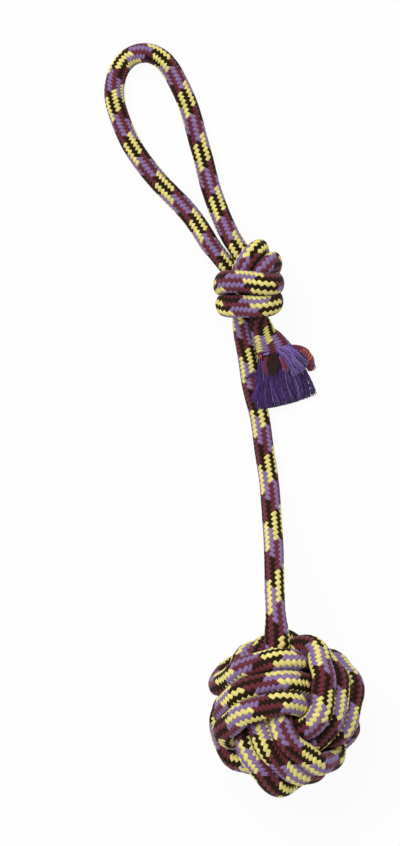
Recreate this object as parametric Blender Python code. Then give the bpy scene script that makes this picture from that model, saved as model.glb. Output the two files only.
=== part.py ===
"""Dog's throw-and-tug toy made of one braided rope.

One end is wound round a core ball as a monkey's fist, three sets of three turns at right
angles. The other end is doubled back, both strands are tied in one overhand knot, and the
bight beyond the knot is the hand loop. The cut tail below the knot is left to fray.

The toy lies on a flat surface, as it does when it is put down: +Y runs from the ball to the
loop, +Z is up, and the origin is under the middle of the toy. Lengths are metres.
"""

import math

import bmesh
import bpy
import numpy as np
from mathutils import Matrix, Vector

MM = 0.001
DEG = math.pi / 180

# Driving sizes.
ROPE_D = 12.7 * MM
CORE_D = 44 * MM
TURN_SPREAD_SHARE = 1.055
KNOT_SQUEEZE_SHARE = 0.8
STRAND_GAP = 1.1 * MM
PIECE_GAP = 0.3 * MM
CORE_ROOM = 3.7 * MM

# Where the ball lies. Its middle is this share of half its diameter up: the turns that it
# rests on are pressed up level, and are then cut flat this share of their diameter deep.
BALL_X = 31.6 * MM
BALL_FRONT_Y = -134.15 * MM
BALL_REST_SHARE = 0.90
FLAT_SHARE = 0.1
BALL_ROLL = 158 * DEG
BALL_TILT = 11 * DEG
TILT_TOWARDS = -22 * DEG

# The winding: a turn is outermost on two faces and innermost on the two between.
TURNS_PER_SET = 3
POINTS_PER_TURN = 48
OUTER_UNTIL = 18 * DEG
INNER_FROM = 60 * DEG
SHIFT_SPAN = 60 * DEG

# Each set in turn, in quarter turns from the middle of its first face: where it starts and
# stops, where it moves one turn over, and where it stays outermost on its way to the next set.
SET_END_SHARES = ((-0.85, 10.25), (-0.25, 10.25), (-0.25, 11.3))
SET_SHIFT_SHARES = ((2.85, 7.15), (3.0, 7.0), (3.0, 7.0))
SET_OUT_SHARES = ((9.8, 11.0), (9.8, 11.0), (12.0, 12.0))
SET_FIRST_SIDES = (1, -1, -1)

# The way in from the neck: outside the corner between two sets, then through its gap.
CORNER_OUT_SHARE = 0.86
CORNER_IN_SHARES = (0.90, 1.35, -0.75)

# How the strands are settled against each other.
SETTLE_STEP = 4.8 * MM
FINE_STEP = 0.3 * MM
WINDING_STEP_SHARE = 0.9
FIST_ROUNDS = 900
KNOT_ROUNDS = 2500
ROUNDS_PER_MEASURE = 4
SETTLING_SHARE = 0.8
SLACK_FREE_SHARE = 1.6
PUSH_SHARE = 1.6
SMOOTH_SHARE = 0.25
LEAST_SMOOTH_SHARE = 0.01
RETURN_SHARE = 0.05
GAP_STEP_SHARE = 1 / 6
GAP_REACH_SHARE = 1.5

# Bends: the stretches of rope that flex where the toy folds.
NECK_STUB = 2 * MM
NECK_LEAD = 10 * MM
NECK_BEND = 20 * MM
FOLD_BEND = 24 * MM
FOLD_AT = 73 * MM
SWING_BEND = 20 * MM
SWING_AT = 132 * MM
LEG_BEND = 18 * MM
TAIL_BEND = 8 * MM

# Facets: points along a tube are this share of the rope's diameter apart.
TUBE_STEP_SHARE = 1.0
STRAIGHT_STEP_SHARE = 2.0
TUBE_SIDES = 8
WINDING_SIDES = 6
WINDING_POINTS_PER_TURN = 24
CORE_FACET_LEVEL = 3
SHEATH_SIDES = 20
END_STEP = 0.2 * MM

# The frayed tail. Its places are offsets from where the sheath starts, and its widths and
# heights are half sizes, all as shares of the rope's diameter.
SHEATH_ROUTE_SHARES = [
    (0.00, 0.00, 0.00),
    (0.26, -0.47, -0.24),
    (0.43, -0.78, -0.43),
]
SHEATH_HALF_WIDTH_SHARES = (0.50, 0.58, 0.64)
SHEATH_HALF_HEIGHT_SHARES = (0.44, 0.41, 0.40)
SHEATH_TURNS = (-66 * DEG, -64 * DEG, -63 * DEG)
SHEATH_WALL = 1.8 * MM
SHEATH_MOUTH = 4 * MM
FRINGE_ROUTE_SHARES = [
    (0.33, -0.58, -0.31),
    (0.45, -0.81, -0.46),
    (0.66, -1.33, -0.76),
    (0.89, -2.00, -1.03),
    (1.21, -2.67, -1.14),
    (1.43, -3.30, -1.21),
]
FRINGE_HALF_WIDTH_SHARES = (0.39, 0.42, 0.66, 0.92, 1.05, 1.12)
FRINGE_HALF_HEIGHT_SHARES = (0.21, 0.22, 0.32, 0.36, 0.32, 0.26)
FRINGE_TURNS = (-61 * DEG, -64 * DEG, -67 * DEG, -71 * DEG, -75 * DEG, -77 * DEG)
FRINGE_FLUTES = 36
FLUTE_DEPTH_SHARE = 0.12
LAVENDER_ROUTE_SHARES = [
    (0.83, -0.77, -0.11),
    (1.03, -1.04, -0.20),
    (1.30, -1.37, -0.38),
    (1.54, -1.68, -0.62),
]
LAVENDER_HALF_WIDTH_SHARES = (0.27, 0.33, 0.38, 0.40)
LAVENDER_HALF_HEIGHT_SHARES = (0.10, 0.11, 0.10, 0.08)
LAVENDER_TURNS = (-57 * DEG, -55 * DEG, -53 * DEG, -52 * DEG)
LAVENDER_FLUTES = 18
YARN_D = 3.2 * MM
TWIST_D = 4.4 * MM
MAROON_ROUTE_SHARES = [
    (1.08, -0.40, -0.41),
    (1.41, -0.50, -0.60),
    (1.68, -0.56, -0.79),
]
TWIST_ROUTE_SHARES = [
    (1.74, -0.58, -0.84),
    (1.95, -0.72, -0.95),
    (2.03, -0.95, -1.04),
]
TUFT_ROUTE_SHARES = [
    (2.03, -1.03, -1.08),
    (1.99, -1.22, -1.14),
    (1.95, -1.46, -1.21),
]

KNOT_D = KNOT_SQUEEZE_SHARE * ROPE_D
TURN_D = TURN_SPREAD_SHARE * ROPE_D
# Two turns lie on each side of the core, with some room to be pressed inwards.
BALL_D = CORE_D + 4 * TURN_D + 2 * STRAND_GAP + CORE_ROOM
BALL_Y = BALL_FRONT_Y - BALL_D / 2
TAPER = 2 * ROPE_D

# The rope's route from the neck of the ball to the root of the tail, in millimetres.
STANDING_ROUTE = [
    (26.6, -134.0, 63.0),
    (25.9, -122.0, 59.5),
    (25.4, -102.9, 49.5),
    (25.0, -81.9, 35.0),
    (23.8, -61.0, 21.5),
    (22.1, -40.0, 11.5),
    (18.9, -18.4, 7.0),
    (15.9, 1.9, 6.35),
    (11.4, 19.7, 6.35),
    (8.9, 36.2, 8.0),
    (6.4, 52.1, 13.5),
]
FIRST_STRAND_ROUTE = [
    (5.6, 60.3, 17.0),
    (4.6, 72.0, 23.0),
    (3.8, 84.0, 28.0),
    (3.8, 94.6, 30.5),
    (6.5, 101.5, 30.5),
    (10.0, 104.2, 27.0),
    (15.5, 105.5, 19.5),
    (17.5, 101.5, 11.0),
    (12.5, 95.0, 6.8),
    (4.0, 88.5, 6.6),
    (-4.0, 85.5, 9.0),
    (-8.3, 85.5, 18.0),
    (-7.6, 86.4, 29.5),
    (0.0, 86.8, 38.5),
    (8.0, 86.6, 41.0),
    (16.0, 86.2, 38.5),
    (23.3, 86.0, 29.5),
    (24.0, 85.8, 20.5),
    (19.0, 87.6, 16.0),
    (12.5, 93.0, 17.0),
    (6.0, 99.8, 18.3),
    (1.4, 107.8, 17.8),
]
HANDLE_ROUTE = [
    (-6.0, 122.4, 13.0),
    (-10.9, 134.5, 9.5),
    (-15.6, 148.6, 7.2),
    (-19.4, 163.8, 6.35),
    (-23.4, 178.4, 6.35),
    (-26.9, 191.5, 6.35),
    (-31.0, 203.0, 6.35),
    (-36.2, 214.0, 6.35),
    (-41.6, 223.0, 6.35),
    (-48.3, 229.2, 6.35),
    (-56.8, 231.6, 6.35),
    (-65.4, 229.2, 6.35),
    (-71.5, 223.3, 6.35),
    (-75.2, 214.6, 6.35),
    (-76.0, 203.5, 6.35),
    (-71.8, 188.0, 6.35),
    (-64.5, 172.0, 6.35),
    (-52.0, 154.6, 6.35),
    (-40.5, 142.0, 7.2),
    (-29.5, 130.6, 9.5),
    (-19.2, 116.0, 14.0),
]
SECOND_STRAND_ROUTE = [
    (-10.6, 102.8, 17.8),
    (-2.5, 93.5, 17.0),
    (6.0, 84.5, 16.0),
    (16.0, 75.5, 15.5),
    (23.5, 70.5, 20.5),
    (24.3, 70.0, 29.5),
    (16.0, 70.0, 38.5),
    (8.0, 70.4, 41.0),
    (0.0, 70.8, 38.5),
    (-4.4, 71.0, 29.5),
    (-4.6, 71.5, 18.0),
    (-1.0, 73.5, 9.0),
    (7.0, 79.5, 6.6),
    (15.0, 86.5, 6.8),
    (22.5, 93.0, 9.0),
    (26.0, 95.0, 16.0),
    (24.5, 97.0, 24.5),
    (20.3, 97.3, 30.0),
    (16.8, 93.5, 31.5),
    (15.8, 86.0, 30.5),
    (15.6, 74.0, 28.5),
    (15.8, 64.0, 24.5),
]
TAIL_ROUTE = [
    (16.6, 59.0, 22.5),
    (18.0, 54.5, 20.6),
    (20.0, 50.0, 18.4),
    (22.4, 45.5, 15.8),
]


def unit(v):
    return np.asarray(v, float) / np.linalg.norm(v)


def lengths_along(points):
    """The distance along a run of points from its first point to each."""
    steps = np.linalg.norm(np.diff(points, axis=0), axis=1)
    return np.concatenate([[0.0], np.cumsum(steps)])


def smooth_through(chosen, step):
    """A smooth curve through the chosen points, as points about a step apart."""
    p = np.asarray(chosen, float)
    t = lengths_along(p)
    h = np.diff(t)
    count = len(p)
    # A natural cubic spline: solve for the second derivatives at the chosen points.
    a = np.eye(count)
    b = np.zeros_like(p)
    for i in range(1, count - 1):
        a[i, i - 1 : i + 2] = h[i - 1], 2 * (h[i - 1] + h[i]), h[i]
        b[i] = 6 * ((p[i + 1] - p[i]) / h[i] - (p[i] - p[i - 1]) / h[i - 1])
    m = np.linalg.solve(a, b)
    at = np.linspace(0, t[-1], max(2, round(t[-1] / step) + 1))
    i = np.clip(np.searchsorted(t, at, side="right") - 1, 0, count - 2)
    u = (at - t[i])[:, None]
    w = h[i][:, None] - u
    hi = h[i][:, None]
    return (
        (m[i] * w**3 + m[i + 1] * u**3) / (6 * hi)
        + (p[i] / hi - m[i] * hi / 6) * w
        + (p[i + 1] / hi - m[i + 1] * hi / 6) * u
    )


def resample(points, count):
    """The same run as this many points, evenly apart."""
    t = lengths_along(points)
    at = np.linspace(0, t[-1], count)
    return np.stack([np.interp(at, t, points[:, k]) for k in range(3)], axis=1)


def stretch_of(points, start, stop, step):
    """The run between two distances along it, as points at most a step apart.

    A short first and last step square its ends to the run.
    """
    t = lengths_along(points)
    tip = min(END_STEP, (stop - start) / 4)
    count = max(2, math.ceil((stop - start) / step - 0.01) + 1)
    at = np.linspace(start, stop, count)
    at = np.unique(np.concatenate([at, [start + tip, stop - tip]]))
    return np.stack([np.interp(at, t, points[:, k]) for k in range(3)], axis=1)


def near_pairs(points, strand, along, apart):
    """Pairs of points nearer than apart that aren't neighbours along one strand."""
    i, j = np.triu_indices(len(points), 1)
    far = (strand[i] != strand[j]) | (
        np.abs(along[i] - along[j]) > SLACK_FREE_SHARE * apart
    )
    i, j = i[far], j[far]
    gap = np.linalg.norm(points[i] - points[j], axis=1)
    close = gap < apart
    return i[close], j[close], gap[close]


def settle(strands, held, apart, rounds, floor=None, core=None):
    """Push strands off each other, draw them smooth, and keep them near where they began.

    held gives, for each strand, how many points at its start and at its end stay put.
    """
    strand = np.concatenate([np.full(len(s), n) for n, s in enumerate(strands)])
    points = np.concatenate(strands)
    began = points.copy()
    free = np.concatenate([
        [h[0] <= k < len(s) - h[1] for k in range(len(s))] for s, h in zip(strands, held)
    ]).astype(float)[:, None]
    joined = (strand[1:] == strand[:-1])[:, None]
    inner = np.zeros((len(points), 1))
    inner[1:-1] = joined[1:] & joined[:-1]
    free *= inner
    ends = np.cumsum([0] + [len(s) for s in strands])
    for n in range(rounds):
        if n % ROUNDS_PER_MEASURE == 0:
            along = np.concatenate([
                lengths_along(points[a:b]) for a, b in zip(ends[:-1], ends[1:])
            ])
        i, j, gap = near_pairs(points, strand, along, apart)
        push = np.zeros_like(points)
        times = np.zeros((len(points), 1))
        away = (points[i] - points[j]) / gap[:, None] * ((apart - gap) / 2)[:, None]
        np.add.at(push, i, away)
        np.add.at(push, j, -away)
        np.add.at(times, i, 1)
        np.add.at(times, j, 1)
        ease = max(0.0, 1 - n / (SETTLING_SHARE * rounds))
        middle = np.zeros_like(points)
        middle[1:-1] = (points[2:] + points[:-2]) / 2 - points[1:-1]
        move = PUSH_SHARE * push / np.maximum(times, 1)
        move += (LEAST_SMOOTH_SHARE + SMOOTH_SHARE * ease) * middle
        move += RETURN_SHARE * ease * (began - points)
        points = points + free * move
        if floor is not None:
            low = free[:, 0] > 0
            points[low, 2] = np.maximum(points[low, 2], floor)
        if core is not None:
            centre, least = core
            out = points - centre
            reach = np.linalg.norm(out, axis=1, keepdims=True)
            points += free * out / reach * np.maximum(least - reach, 0)
    return [points[a:b] for a, b in zip(ends[:-1], ends[1:])]


def least_gap(strands, diameter):
    """The least gap between tubes, from closely spaced points on their centrelines."""
    step = GAP_STEP_SHARE * diameter
    fine = [resample(s, round(lengths_along(s)[-1] / step)) for s in strands]
    strand = np.concatenate([np.full(len(s), n) for n, s in enumerate(fine)])
    along = np.concatenate([lengths_along(s) for s in fine])
    points = np.concatenate(fine)
    gaps = near_pairs(points, strand, along, GAP_REACH_SHARE * diameter)[2]
    return gaps.min() - diameter


def ball_axes():
    """The three directions of the winding's faces: left, right and lower, seen from above."""
    rise = math.asin(1 / math.sqrt(3))
    tilt = Matrix.Rotation(TILT_TOWARDS, 3, "Z")
    tilt = tilt @ Matrix.Rotation(BALL_TILT, 3, "Y") @ tilt.inverted()
    axes = []
    for n in range(3):
        turn = BALL_ROLL - n * 120 * DEG
        level = math.cos(rise)
        face = Vector((level * math.cos(turn), level * math.sin(turn), math.sin(rise)))
        axes.append(np.array(tilt @ face))
    return axes


def smoothstep(t):
    t = np.clip(t, 0, 1)
    return t * t * (3 - 2 * t)


def wound_set(across, out_face, in_face, number):
    """One set of turns about the axis across, relative to the ball's middle.

    Angles run from the middle of out_face towards in_face. The set's number picks its row in
    the tables of quarter turns, and the side along across that its first turn lies on.
    """
    start, stop = (share * math.pi / 2 for share in SET_END_SHARES[number])
    shifts = [share * math.pi / 2 for share in SET_SHIFT_SHARES[number]]
    out_from, out_to = (share * math.pi / 2 for share in SET_OUT_SHARES[number])
    first_side = SET_FIRST_SIDES[number]
    outer = (BALL_D - TURN_D) / 2
    inner = outer - TURN_D - STRAND_GAP
    pitch = TURN_D + STRAND_GAP
    count = round((stop - start) / (2 * math.pi) * POINTS_PER_TURN) + 1
    angle = np.linspace(start, stop, count)
    off_face = np.abs((angle + math.pi / 2) % math.pi - math.pi / 2)
    sunk = smoothstep((off_face - OUTER_UNTIL) / (INNER_FROM - OUTER_UNTIL))
    sunk[(angle > out_from) & (angle < out_to)] = 0
    reach = outer - (outer - inner) * sunk
    offset = np.full(count, first_side * pitch)
    for shift in shifts:
        offset -= first_side * pitch * smoothstep((angle - shift) / SHIFT_SPAN + 0.5)
    radius = np.sqrt(reach**2 - offset**2)
    return (
        offset[:, None] * across
        + (radius * np.cos(angle))[:, None] * out_face
        + (radius * np.sin(angle))[:, None] * in_face
    )


def wound_ball(centre):
    """The rope's route through the ball, from the neck outside it to the tucked-in end."""
    left, right, lower = ball_axes()
    neck = unit(left + right - lower)
    outer = (BALL_D - TURN_D) / 2
    inner = outer - TURN_D - STRAND_GAP
    pitch = TURN_D + STRAND_GAP
    along_left, along_right, along_lower = CORNER_IN_SHARES
    way_in = np.array([
        CORNER_OUT_SHARE * outer * neck,
        along_left * inner * left + pitch * (along_right * right + along_lower * lower),
    ])
    first = wound_set(right, lower, -left, 0)
    second = wound_set(lower, left, right, 1)
    third = wound_set(left, -right, -lower, 2)
    route = np.concatenate([way_in, first, second, third])
    return centre + smooth_through(route, WINDING_STEP_SHARE * SETTLE_STEP)


def settled_ball(centre, neck):
    """The winding, settled on the core with its neck held straight where it comes out."""
    inward = unit(neck[-1] - neck[0])
    lead = neck[-1] + inward * np.linspace(0, NECK_LEAD, 4)[1:, None]
    held = np.concatenate([neck, lead])
    winding = wound_ball(centre)
    between = smooth_through(np.stack([held[-2], held[-1], winding[0]]), SETTLE_STEP)[2:-1]
    route = np.concatenate([held, between, winding])
    least = (CORE_D + TURN_D) / 2 + PIECE_GAP
    settled = settle(
        [route], [(len(held), 1)], TURN_D + STRAND_GAP, FIST_ROUNDS,
        floor=(1 / 2 - FLAT_SHARE) * TURN_D, core=(centre, least),
    )[0]
    return smooth_through(settled, FINE_STEP)


def nearest(points, place):
    return int(np.argmin(np.linalg.norm(points - np.asarray(place) * MM, axis=1)))


def rope_route():
    """The rope from the ball's neck to the tail, and where along it each part begins."""
    chosen = (
        STANDING_ROUTE + FIRST_STRAND_ROUTE + HANDLE_ROUTE + SECOND_STRAND_ROUTE + TAIL_ROUTE
    )
    route = smooth_through(np.array(chosen) * MM, SETTLE_STEP)
    starts = [
        nearest(route, place)
        for place in (STANDING_ROUTE[-1], HANDLE_ROUTE[0], HANDLE_ROUTE[-1], TAIL_ROUTE[0])
    ]
    into_knot, loop_starts, loop_ends, tail_starts = starts
    first, second = settle(
        [route[into_knot : loop_starts + 1], route[loop_ends : tail_starts + 1]],
        [(3, 3), (3, 3)], KNOT_D + STRAND_GAP, KNOT_ROUNDS, floor=KNOT_D / 2,
    )
    route[into_knot : loop_starts + 1] = first
    route[loop_ends : tail_starts + 1] = second
    along = lengths_along(route)
    marks = [along[n] for n in starts]
    return smooth_through(route, FINE_STEP), marks


def material(name, colour, roughness=0.85):
    made = bpy.data.materials.get(name)
    if made is None:
        made = bpy.data.materials.new(name)
        made.use_nodes = True
        shader = made.node_tree.nodes["Principled BSDF"]
        shader.inputs["Base Color"].default_value = (*colour, 1)
        shader.inputs["Roughness"].default_value = roughness
        shader.inputs["Metallic"].default_value = 0
    return made


def add_mesh(name, mesh, look):
    obj = bpy.data.objects.new(name, mesh)
    bpy.context.scene.collection.objects.link(obj)
    mesh.materials.append(look)
    return obj


def tapered(points, ends, diameter):
    """A diameter for each point: the rope's own at the ends given, easing to another.

    ends says whether the start and the end are at the rope's own diameter.
    """
    along = lengths_along(points)
    share = np.ones(len(points))
    if ends[0]:
        share = np.minimum(share, smoothstep(along / TAPER))
    if ends[1]:
        share = np.minimum(share, smoothstep((along[-1] - along) / TAPER))
    return ROPE_D + (diameter - ROPE_D) * share


def tube(name, points, diameters, sides, look):
    """A rope: a curve along the points with a round bevel and filled ends."""
    diameter = float(np.max(diameters))
    shares = np.broadcast_to(np.asarray(diameters) / diameter, len(points))
    data = bpy.data.curves.new(name, "CURVE")
    data.dimensions = "3D"
    data.bevel_depth = diameter / 2
    data.bevel_resolution = round(sides / 2) - 2
    data.use_fill_caps = True
    spline = data.splines.new("POLY")
    spline.points.add(len(points) - 1)
    for place, point, share in zip(spline.points, points, shares):
        place.co = (*point, 1)
        place.radius = share
    return add_mesh(name, data, look)


def meshed_copy(obj):
    """The same object as a mesh, so that a Boolean can cut it."""
    graph = bpy.context.evaluated_depsgraph_get()
    mesh = bpy.data.meshes.new_from_object(obj.evaluated_get(graph))
    name, look = obj.name, obj.data.materials[0]
    bpy.data.objects.remove(obj)
    mesh.materials.clear()
    return add_mesh(name, mesh, look)


def cut_flat(obj, place, span):
    """Cut off what lies below the surface that the part lies on, round a place."""
    mesh = bpy.data.meshes.new(obj.name + "_cutter")
    bm = bmesh.new()
    bmesh.ops.create_cube(bm, size=span)
    bm.to_mesh(mesh)
    bm.free()
    cutter = bpy.data.objects.new(mesh.name, mesh)
    bpy.context.scene.collection.objects.link(cutter)
    cutter.hide_render = True
    cutter.display_type = "WIRE"
    cutter.location = (place[0], place[1], -span / 2)
    cut = obj.modifiers.new("flat", "BOOLEAN")
    cut.operation = "DIFFERENCE"
    cut.object = cutter


def loft(name, rings, look):
    """A closed solid through rings of as many points each."""
    bm = bmesh.new()
    loops = [[bm.verts.new(p) for p in ring] for ring in rings]
    count = len(loops[0])
    for one, other in zip(loops, loops[1:]):
        for k in range(count):
            n = (k + 1) % count
            bm.faces.new((one[k], one[n], other[n], other[k]))
    for loop in (loops[0], loops[-1]):
        bm.faces.new(loop)
    bmesh.ops.triangulate(bm, faces=bm.faces[:])
    bmesh.ops.recalc_face_normals(bm, faces=bm.faces[:])
    mesh = bpy.data.meshes.new(name)
    bm.to_mesh(mesh)
    bm.free()
    return add_mesh(name, mesh, look)


def clear_scene():
    for obj in list(bpy.data.objects):
        bpy.data.objects.remove(obj)


def oval(place, turn, slope, half_width, half_height, count, flute_share=0.0):
    """An oval section, level across, of a run that heads turn round from +X at a slope."""
    across = np.array([-math.sin(turn), math.cos(turn), 0.0])
    level = np.array([math.cos(turn), math.sin(turn), 0.0])
    up = math.cos(slope) * np.array([0.0, 0.0, 1.0]) - math.sin(slope) * level
    ring = []
    for k in range(count):
        a = 2 * math.pi * k / count
        fluted = half_height * (1 - flute_share * (k % 2))
        ring.append(place + across * half_width * math.cos(a) + up * fluted * math.sin(a))
    return ring


def at_distance(route, along):
    """The place this far along a run."""
    return stretch_of(route, 0, along, SETTLE_STEP)[-1]


def pivot(name, place, carried_by, carries):
    """An empty on a joint's axis, which the pieces that move about it hang from."""
    empty = bpy.data.objects.new(name, None)
    bpy.context.scene.collection.objects.link(empty)
    empty.empty_display_size = ROPE_D
    empty.location = place
    if carried_by is not None:
        empty.parent = carried_by
        empty.matrix_parent_inverse = carried_by.matrix_world.inverted()
    bpy.context.view_layer.update()
    for piece in carries:
        obj = bpy.data.objects[piece]
        obj.parent = empty
        obj.matrix_parent_inverse = empty.matrix_world.inverted()
    return empty


def rope_pieces(route, starts, look):
    """The stretches of rope between the ball, the knot and the tail."""
    into_knot, loop_starts, loop_ends, tail_starts = starts
    straight = STRAIGHT_STEP_SHARE * ROPE_D
    close = TUBE_STEP_SHARE * ROPE_D
    half_leg = LEG_BEND / 2
    neck_end = NECK_STUB + PIECE_GAP + NECK_BEND
    fold = FOLD_AT - FOLD_BEND / 2, FOLD_AT + FOLD_BEND / 2
    swing = SWING_AT - SWING_BEND / 2, SWING_AT + SWING_BEND / 2
    plan = (
        ("neck_bend", NECK_STUB + PIECE_GAP, neck_end, ROPE_D, close),
        ("lower_rope", neck_end + PIECE_GAP, fold[0] - PIECE_GAP, ROPE_D, close),
        ("fold_bend", *fold, ROPE_D, close),
        ("middle_rope", fold[1] + PIECE_GAP, swing[0] - PIECE_GAP, ROPE_D, close),
        ("swing_bend", *swing, ROPE_D, close),
        ("upper_rope", swing[1] + PIECE_GAP, into_knot - PIECE_GAP, ROPE_D, straight),
        ("knot_first_strand", into_knot, loop_starts - half_leg - PIECE_GAP, KNOT_D, close / 2),
        ("right_leg_bend", loop_starts - half_leg, loop_starts + half_leg, ROPE_D, close),
        (
            "handle_loop",
            loop_starts + half_leg + PIECE_GAP,
            loop_ends - half_leg - PIECE_GAP,
            ROPE_D,
            close,
        ),
        ("left_leg_bend", loop_ends - half_leg, loop_ends + half_leg, ROPE_D, close),
        ("knot_second_strand", loop_ends + half_leg + PIECE_GAP, tail_starts, KNOT_D, close / 2),
        ("tail_bend", tail_starts + PIECE_GAP, tail_starts + TAIL_BEND, KNOT_D, close / 2),
    )
    for name, start, stop, diameter, step in plan:
        points = stretch_of(route, start, stop, step)
        ends = name != "tail_bend", name == "knot_first_strand"
        tube(name, points, tapered(points, ends, diameter), TUBE_SIDES, look)


def run_of_rings(places, half_widths, half_heights, turns, inset, count, flute_share=0.0):
    """Oval sections along a run, each drawn in by an inset."""
    ways = np.gradient(places, axis=0)
    slopes = np.arctan2(ways[:, 2], np.hypot(ways[:, 0], ways[:, 1]))
    return [
        oval(
            place, turn, slope, wide * ROPE_D - inset, high * ROPE_D - inset, count, flute_share
        )
        for place, wide, high, turn, slope in zip(
            places, half_widths, half_heights, turns, slopes
        )
    ]


def frayed_tail(seat, braid, core_yarn, lavender, maroon, orange):
    """The tail's opened sheath, the core yarns that fan out of it, and its loose yarns.

    The sheath starts at the seat, just clear of the end of the tail's bend.
    """
    run, fringe_run, lavender_run = (
        seat + ROPE_D * np.array(shares)
        for shares in (SHEATH_ROUTE_SHARES, FRINGE_ROUTE_SHARES, LAVENDER_ROUTE_SHARES)
    )
    sheath = run, SHEATH_HALF_WIDTH_SHARES, SHEATH_HALF_HEIGHT_SHARES, SHEATH_TURNS
    outside = run_of_rings(*sheath, 0.0, SHEATH_SIDES)
    inside = run_of_rings(*sheath, SHEATH_WALL, SHEATH_SIDES)
    last, middle = np.array(inside[-1]), np.array(inside[-2])
    reach = np.linalg.norm(run[-1] - run[-2])
    bottom = last + (middle - last) * (SHEATH_MOUTH + PIECE_GAP) / reach
    loft("tail_sheath", [*outside, inside[-1], list(bottom)], braid)
    loft(
        "core_fringe",
        run_of_rings(
            fringe_run, FRINGE_HALF_WIDTH_SHARES, FRINGE_HALF_HEIGHT_SHARES, FRINGE_TURNS,
            0.0, FRINGE_FLUTES * 2, FLUTE_DEPTH_SHARE,
        ),
        core_yarn,
    )
    loft(
        "lavender_yarns",
        run_of_rings(
            lavender_run, LAVENDER_HALF_WIDTH_SHARES, LAVENDER_HALF_HEIGHT_SHARES,
            LAVENDER_TURNS, 0.0, LAVENDER_FLUTES * 2, FLUTE_DEPTH_SHARE,
        ),
        lavender,
    )
    for name, shares, diameter, look in (
        ("maroon_yarns", MAROON_ROUTE_SHARES, YARN_D, maroon),
        ("orange_twist", TWIST_ROUTE_SHARES, TWIST_D, orange),
        ("maroon_tuft", TUFT_ROUTE_SHARES, YARN_D, maroon),
    ):
        points = smooth_through(seat + ROPE_D * np.array(shares), YARN_D)
        tube(name, points, diameter, TUBE_SIDES, look)


def hang_on_pivots(route, starts):
    """Put a pivot in the middle of each bend, from the ball outwards."""
    neck = at_distance(route, NECK_STUB + PIECE_GAP + NECK_BEND / 2)
    right_leg = at_distance(route, starts[1])
    left_leg = at_distance(route, starts[2])
    tail = at_distance(route, starts[3] + TAIL_BEND / 2)
    lower = pivot("neck_pivot", neck, None, ("neck_bend", "lower_rope"))
    middle = pivot("fold_pivot", at_distance(route, FOLD_AT), lower, ("fold_bend", "middle_rope"))
    knot = pivot(
        "swing_pivot",
        at_distance(route, SWING_AT),
        middle,
        ("swing_bend", "upper_rope", "knot_first_strand", "knot_second_strand"),
    )
    pivot(
        "handle_pivot",
        (right_leg + left_leg) / 2,
        knot,
        ("right_leg_bend", "left_leg_bend", "handle_loop"),
    )
    yarns = "lavender_yarns", "maroon_yarns", "orange_twist", "maroon_tuft"
    pivot("tail_pivot", tail, knot, ("tail_bend", "tail_sheath", "core_fringe", *yarns))


def build():
    clear_scene()
    braid = material("braided_rope", (0.30, 0.16, 0.20))
    rubber = material("core_rubber", (0.05, 0.05, 0.06), 0.6)
    core_yarn = material("core_yarn", (0.10, 0.03, 0.22))
    lavender = material("lavender_yarn", (0.26, 0.18, 0.50))
    maroon = material("maroon_yarn", (0.20, 0.02, 0.04))
    orange = material("orange_yarn", (0.55, 0.12, 0.04))
    route, starts = rope_route()
    rope_pieces(route, starts, braid)
    neck = stretch_of(route, 0, NECK_STUB, SETTLE_STEP)[::-1]
    centre = np.array([BALL_X, BALL_Y, BALL_REST_SHARE * BALL_D / 2])
    winding = settled_ball(centre, neck)
    lowest = winding[:, 2].min() - TURN_D / 2
    print(f"least gap in the ball {least_gap([winding], TURN_D) / MM:.2f} mm")
    print(f"lowest turn at {lowest / MM:.2f} mm")
    knot = [
        stretch_of(route, starts[0], starts[1], SETTLE_STEP),
        stretch_of(route, starts[2], starts[3], SETTLE_STEP),
    ]
    print(f"least gap in the knot {least_gap(knot, KNOT_D) / MM:.2f} mm")
    step = lengths_along(winding)[-1] / (TURNS_PER_SET * 3 * WINDING_POINTS_PER_TURN)
    points = stretch_of(winding, 0, lengths_along(winding)[-1], step)
    thick = tapered(points, (True, False), TURN_D)
    ball = tube("ball_turns", points, thick, WINDING_SIDES, braid)
    mesh = bpy.data.meshes.new("ball_core")
    bm = bmesh.new()
    bmesh.ops.create_icosphere(bm, subdivisions=CORE_FACET_LEVEL, radius=CORE_D / 2)
    bm.to_mesh(mesh)
    bm.free()
    core = add_mesh("ball_core", mesh, rubber)
    core.location = centre
    seat = at_distance(route, starts[3] + TAIL_BEND + PIECE_GAP)
    frayed_tail(seat, braid, core_yarn, lavender, maroon, orange)
    cut_flat(meshed_copy(ball), centre, 2 * BALL_D)
    hang_on_pivots(route, starts)


build()
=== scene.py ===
"""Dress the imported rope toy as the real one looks.

The braid is laid stitch by stitch along the rope's own line, through the wound ball, the
doubled knot and the hand loop, and the cut tail frays into loose yarns. Lengths are metres.
"""

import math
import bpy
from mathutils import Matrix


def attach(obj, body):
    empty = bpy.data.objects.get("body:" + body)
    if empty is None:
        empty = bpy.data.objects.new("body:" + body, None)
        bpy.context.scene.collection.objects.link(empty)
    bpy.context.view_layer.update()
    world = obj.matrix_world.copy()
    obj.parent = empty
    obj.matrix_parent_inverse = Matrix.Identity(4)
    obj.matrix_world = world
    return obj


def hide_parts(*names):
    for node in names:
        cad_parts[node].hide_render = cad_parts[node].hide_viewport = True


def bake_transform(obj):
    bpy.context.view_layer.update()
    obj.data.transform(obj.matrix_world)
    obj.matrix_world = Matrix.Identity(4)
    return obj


bl_info = {
    "name": "Braided Rope Tug Toy",
    "version": (1, 0, 0),
    "blender": (4, 5, 0),
    "location": "View3D > Sidebar > Rope Toy",
    "description": "Builds a braided rope toy: a wound ball, a knot, a hand loop and a frayed tail",
    "category": "Object",
}

import bpy
import numpy as np
from mathutils import Matrix, Vector

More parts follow.
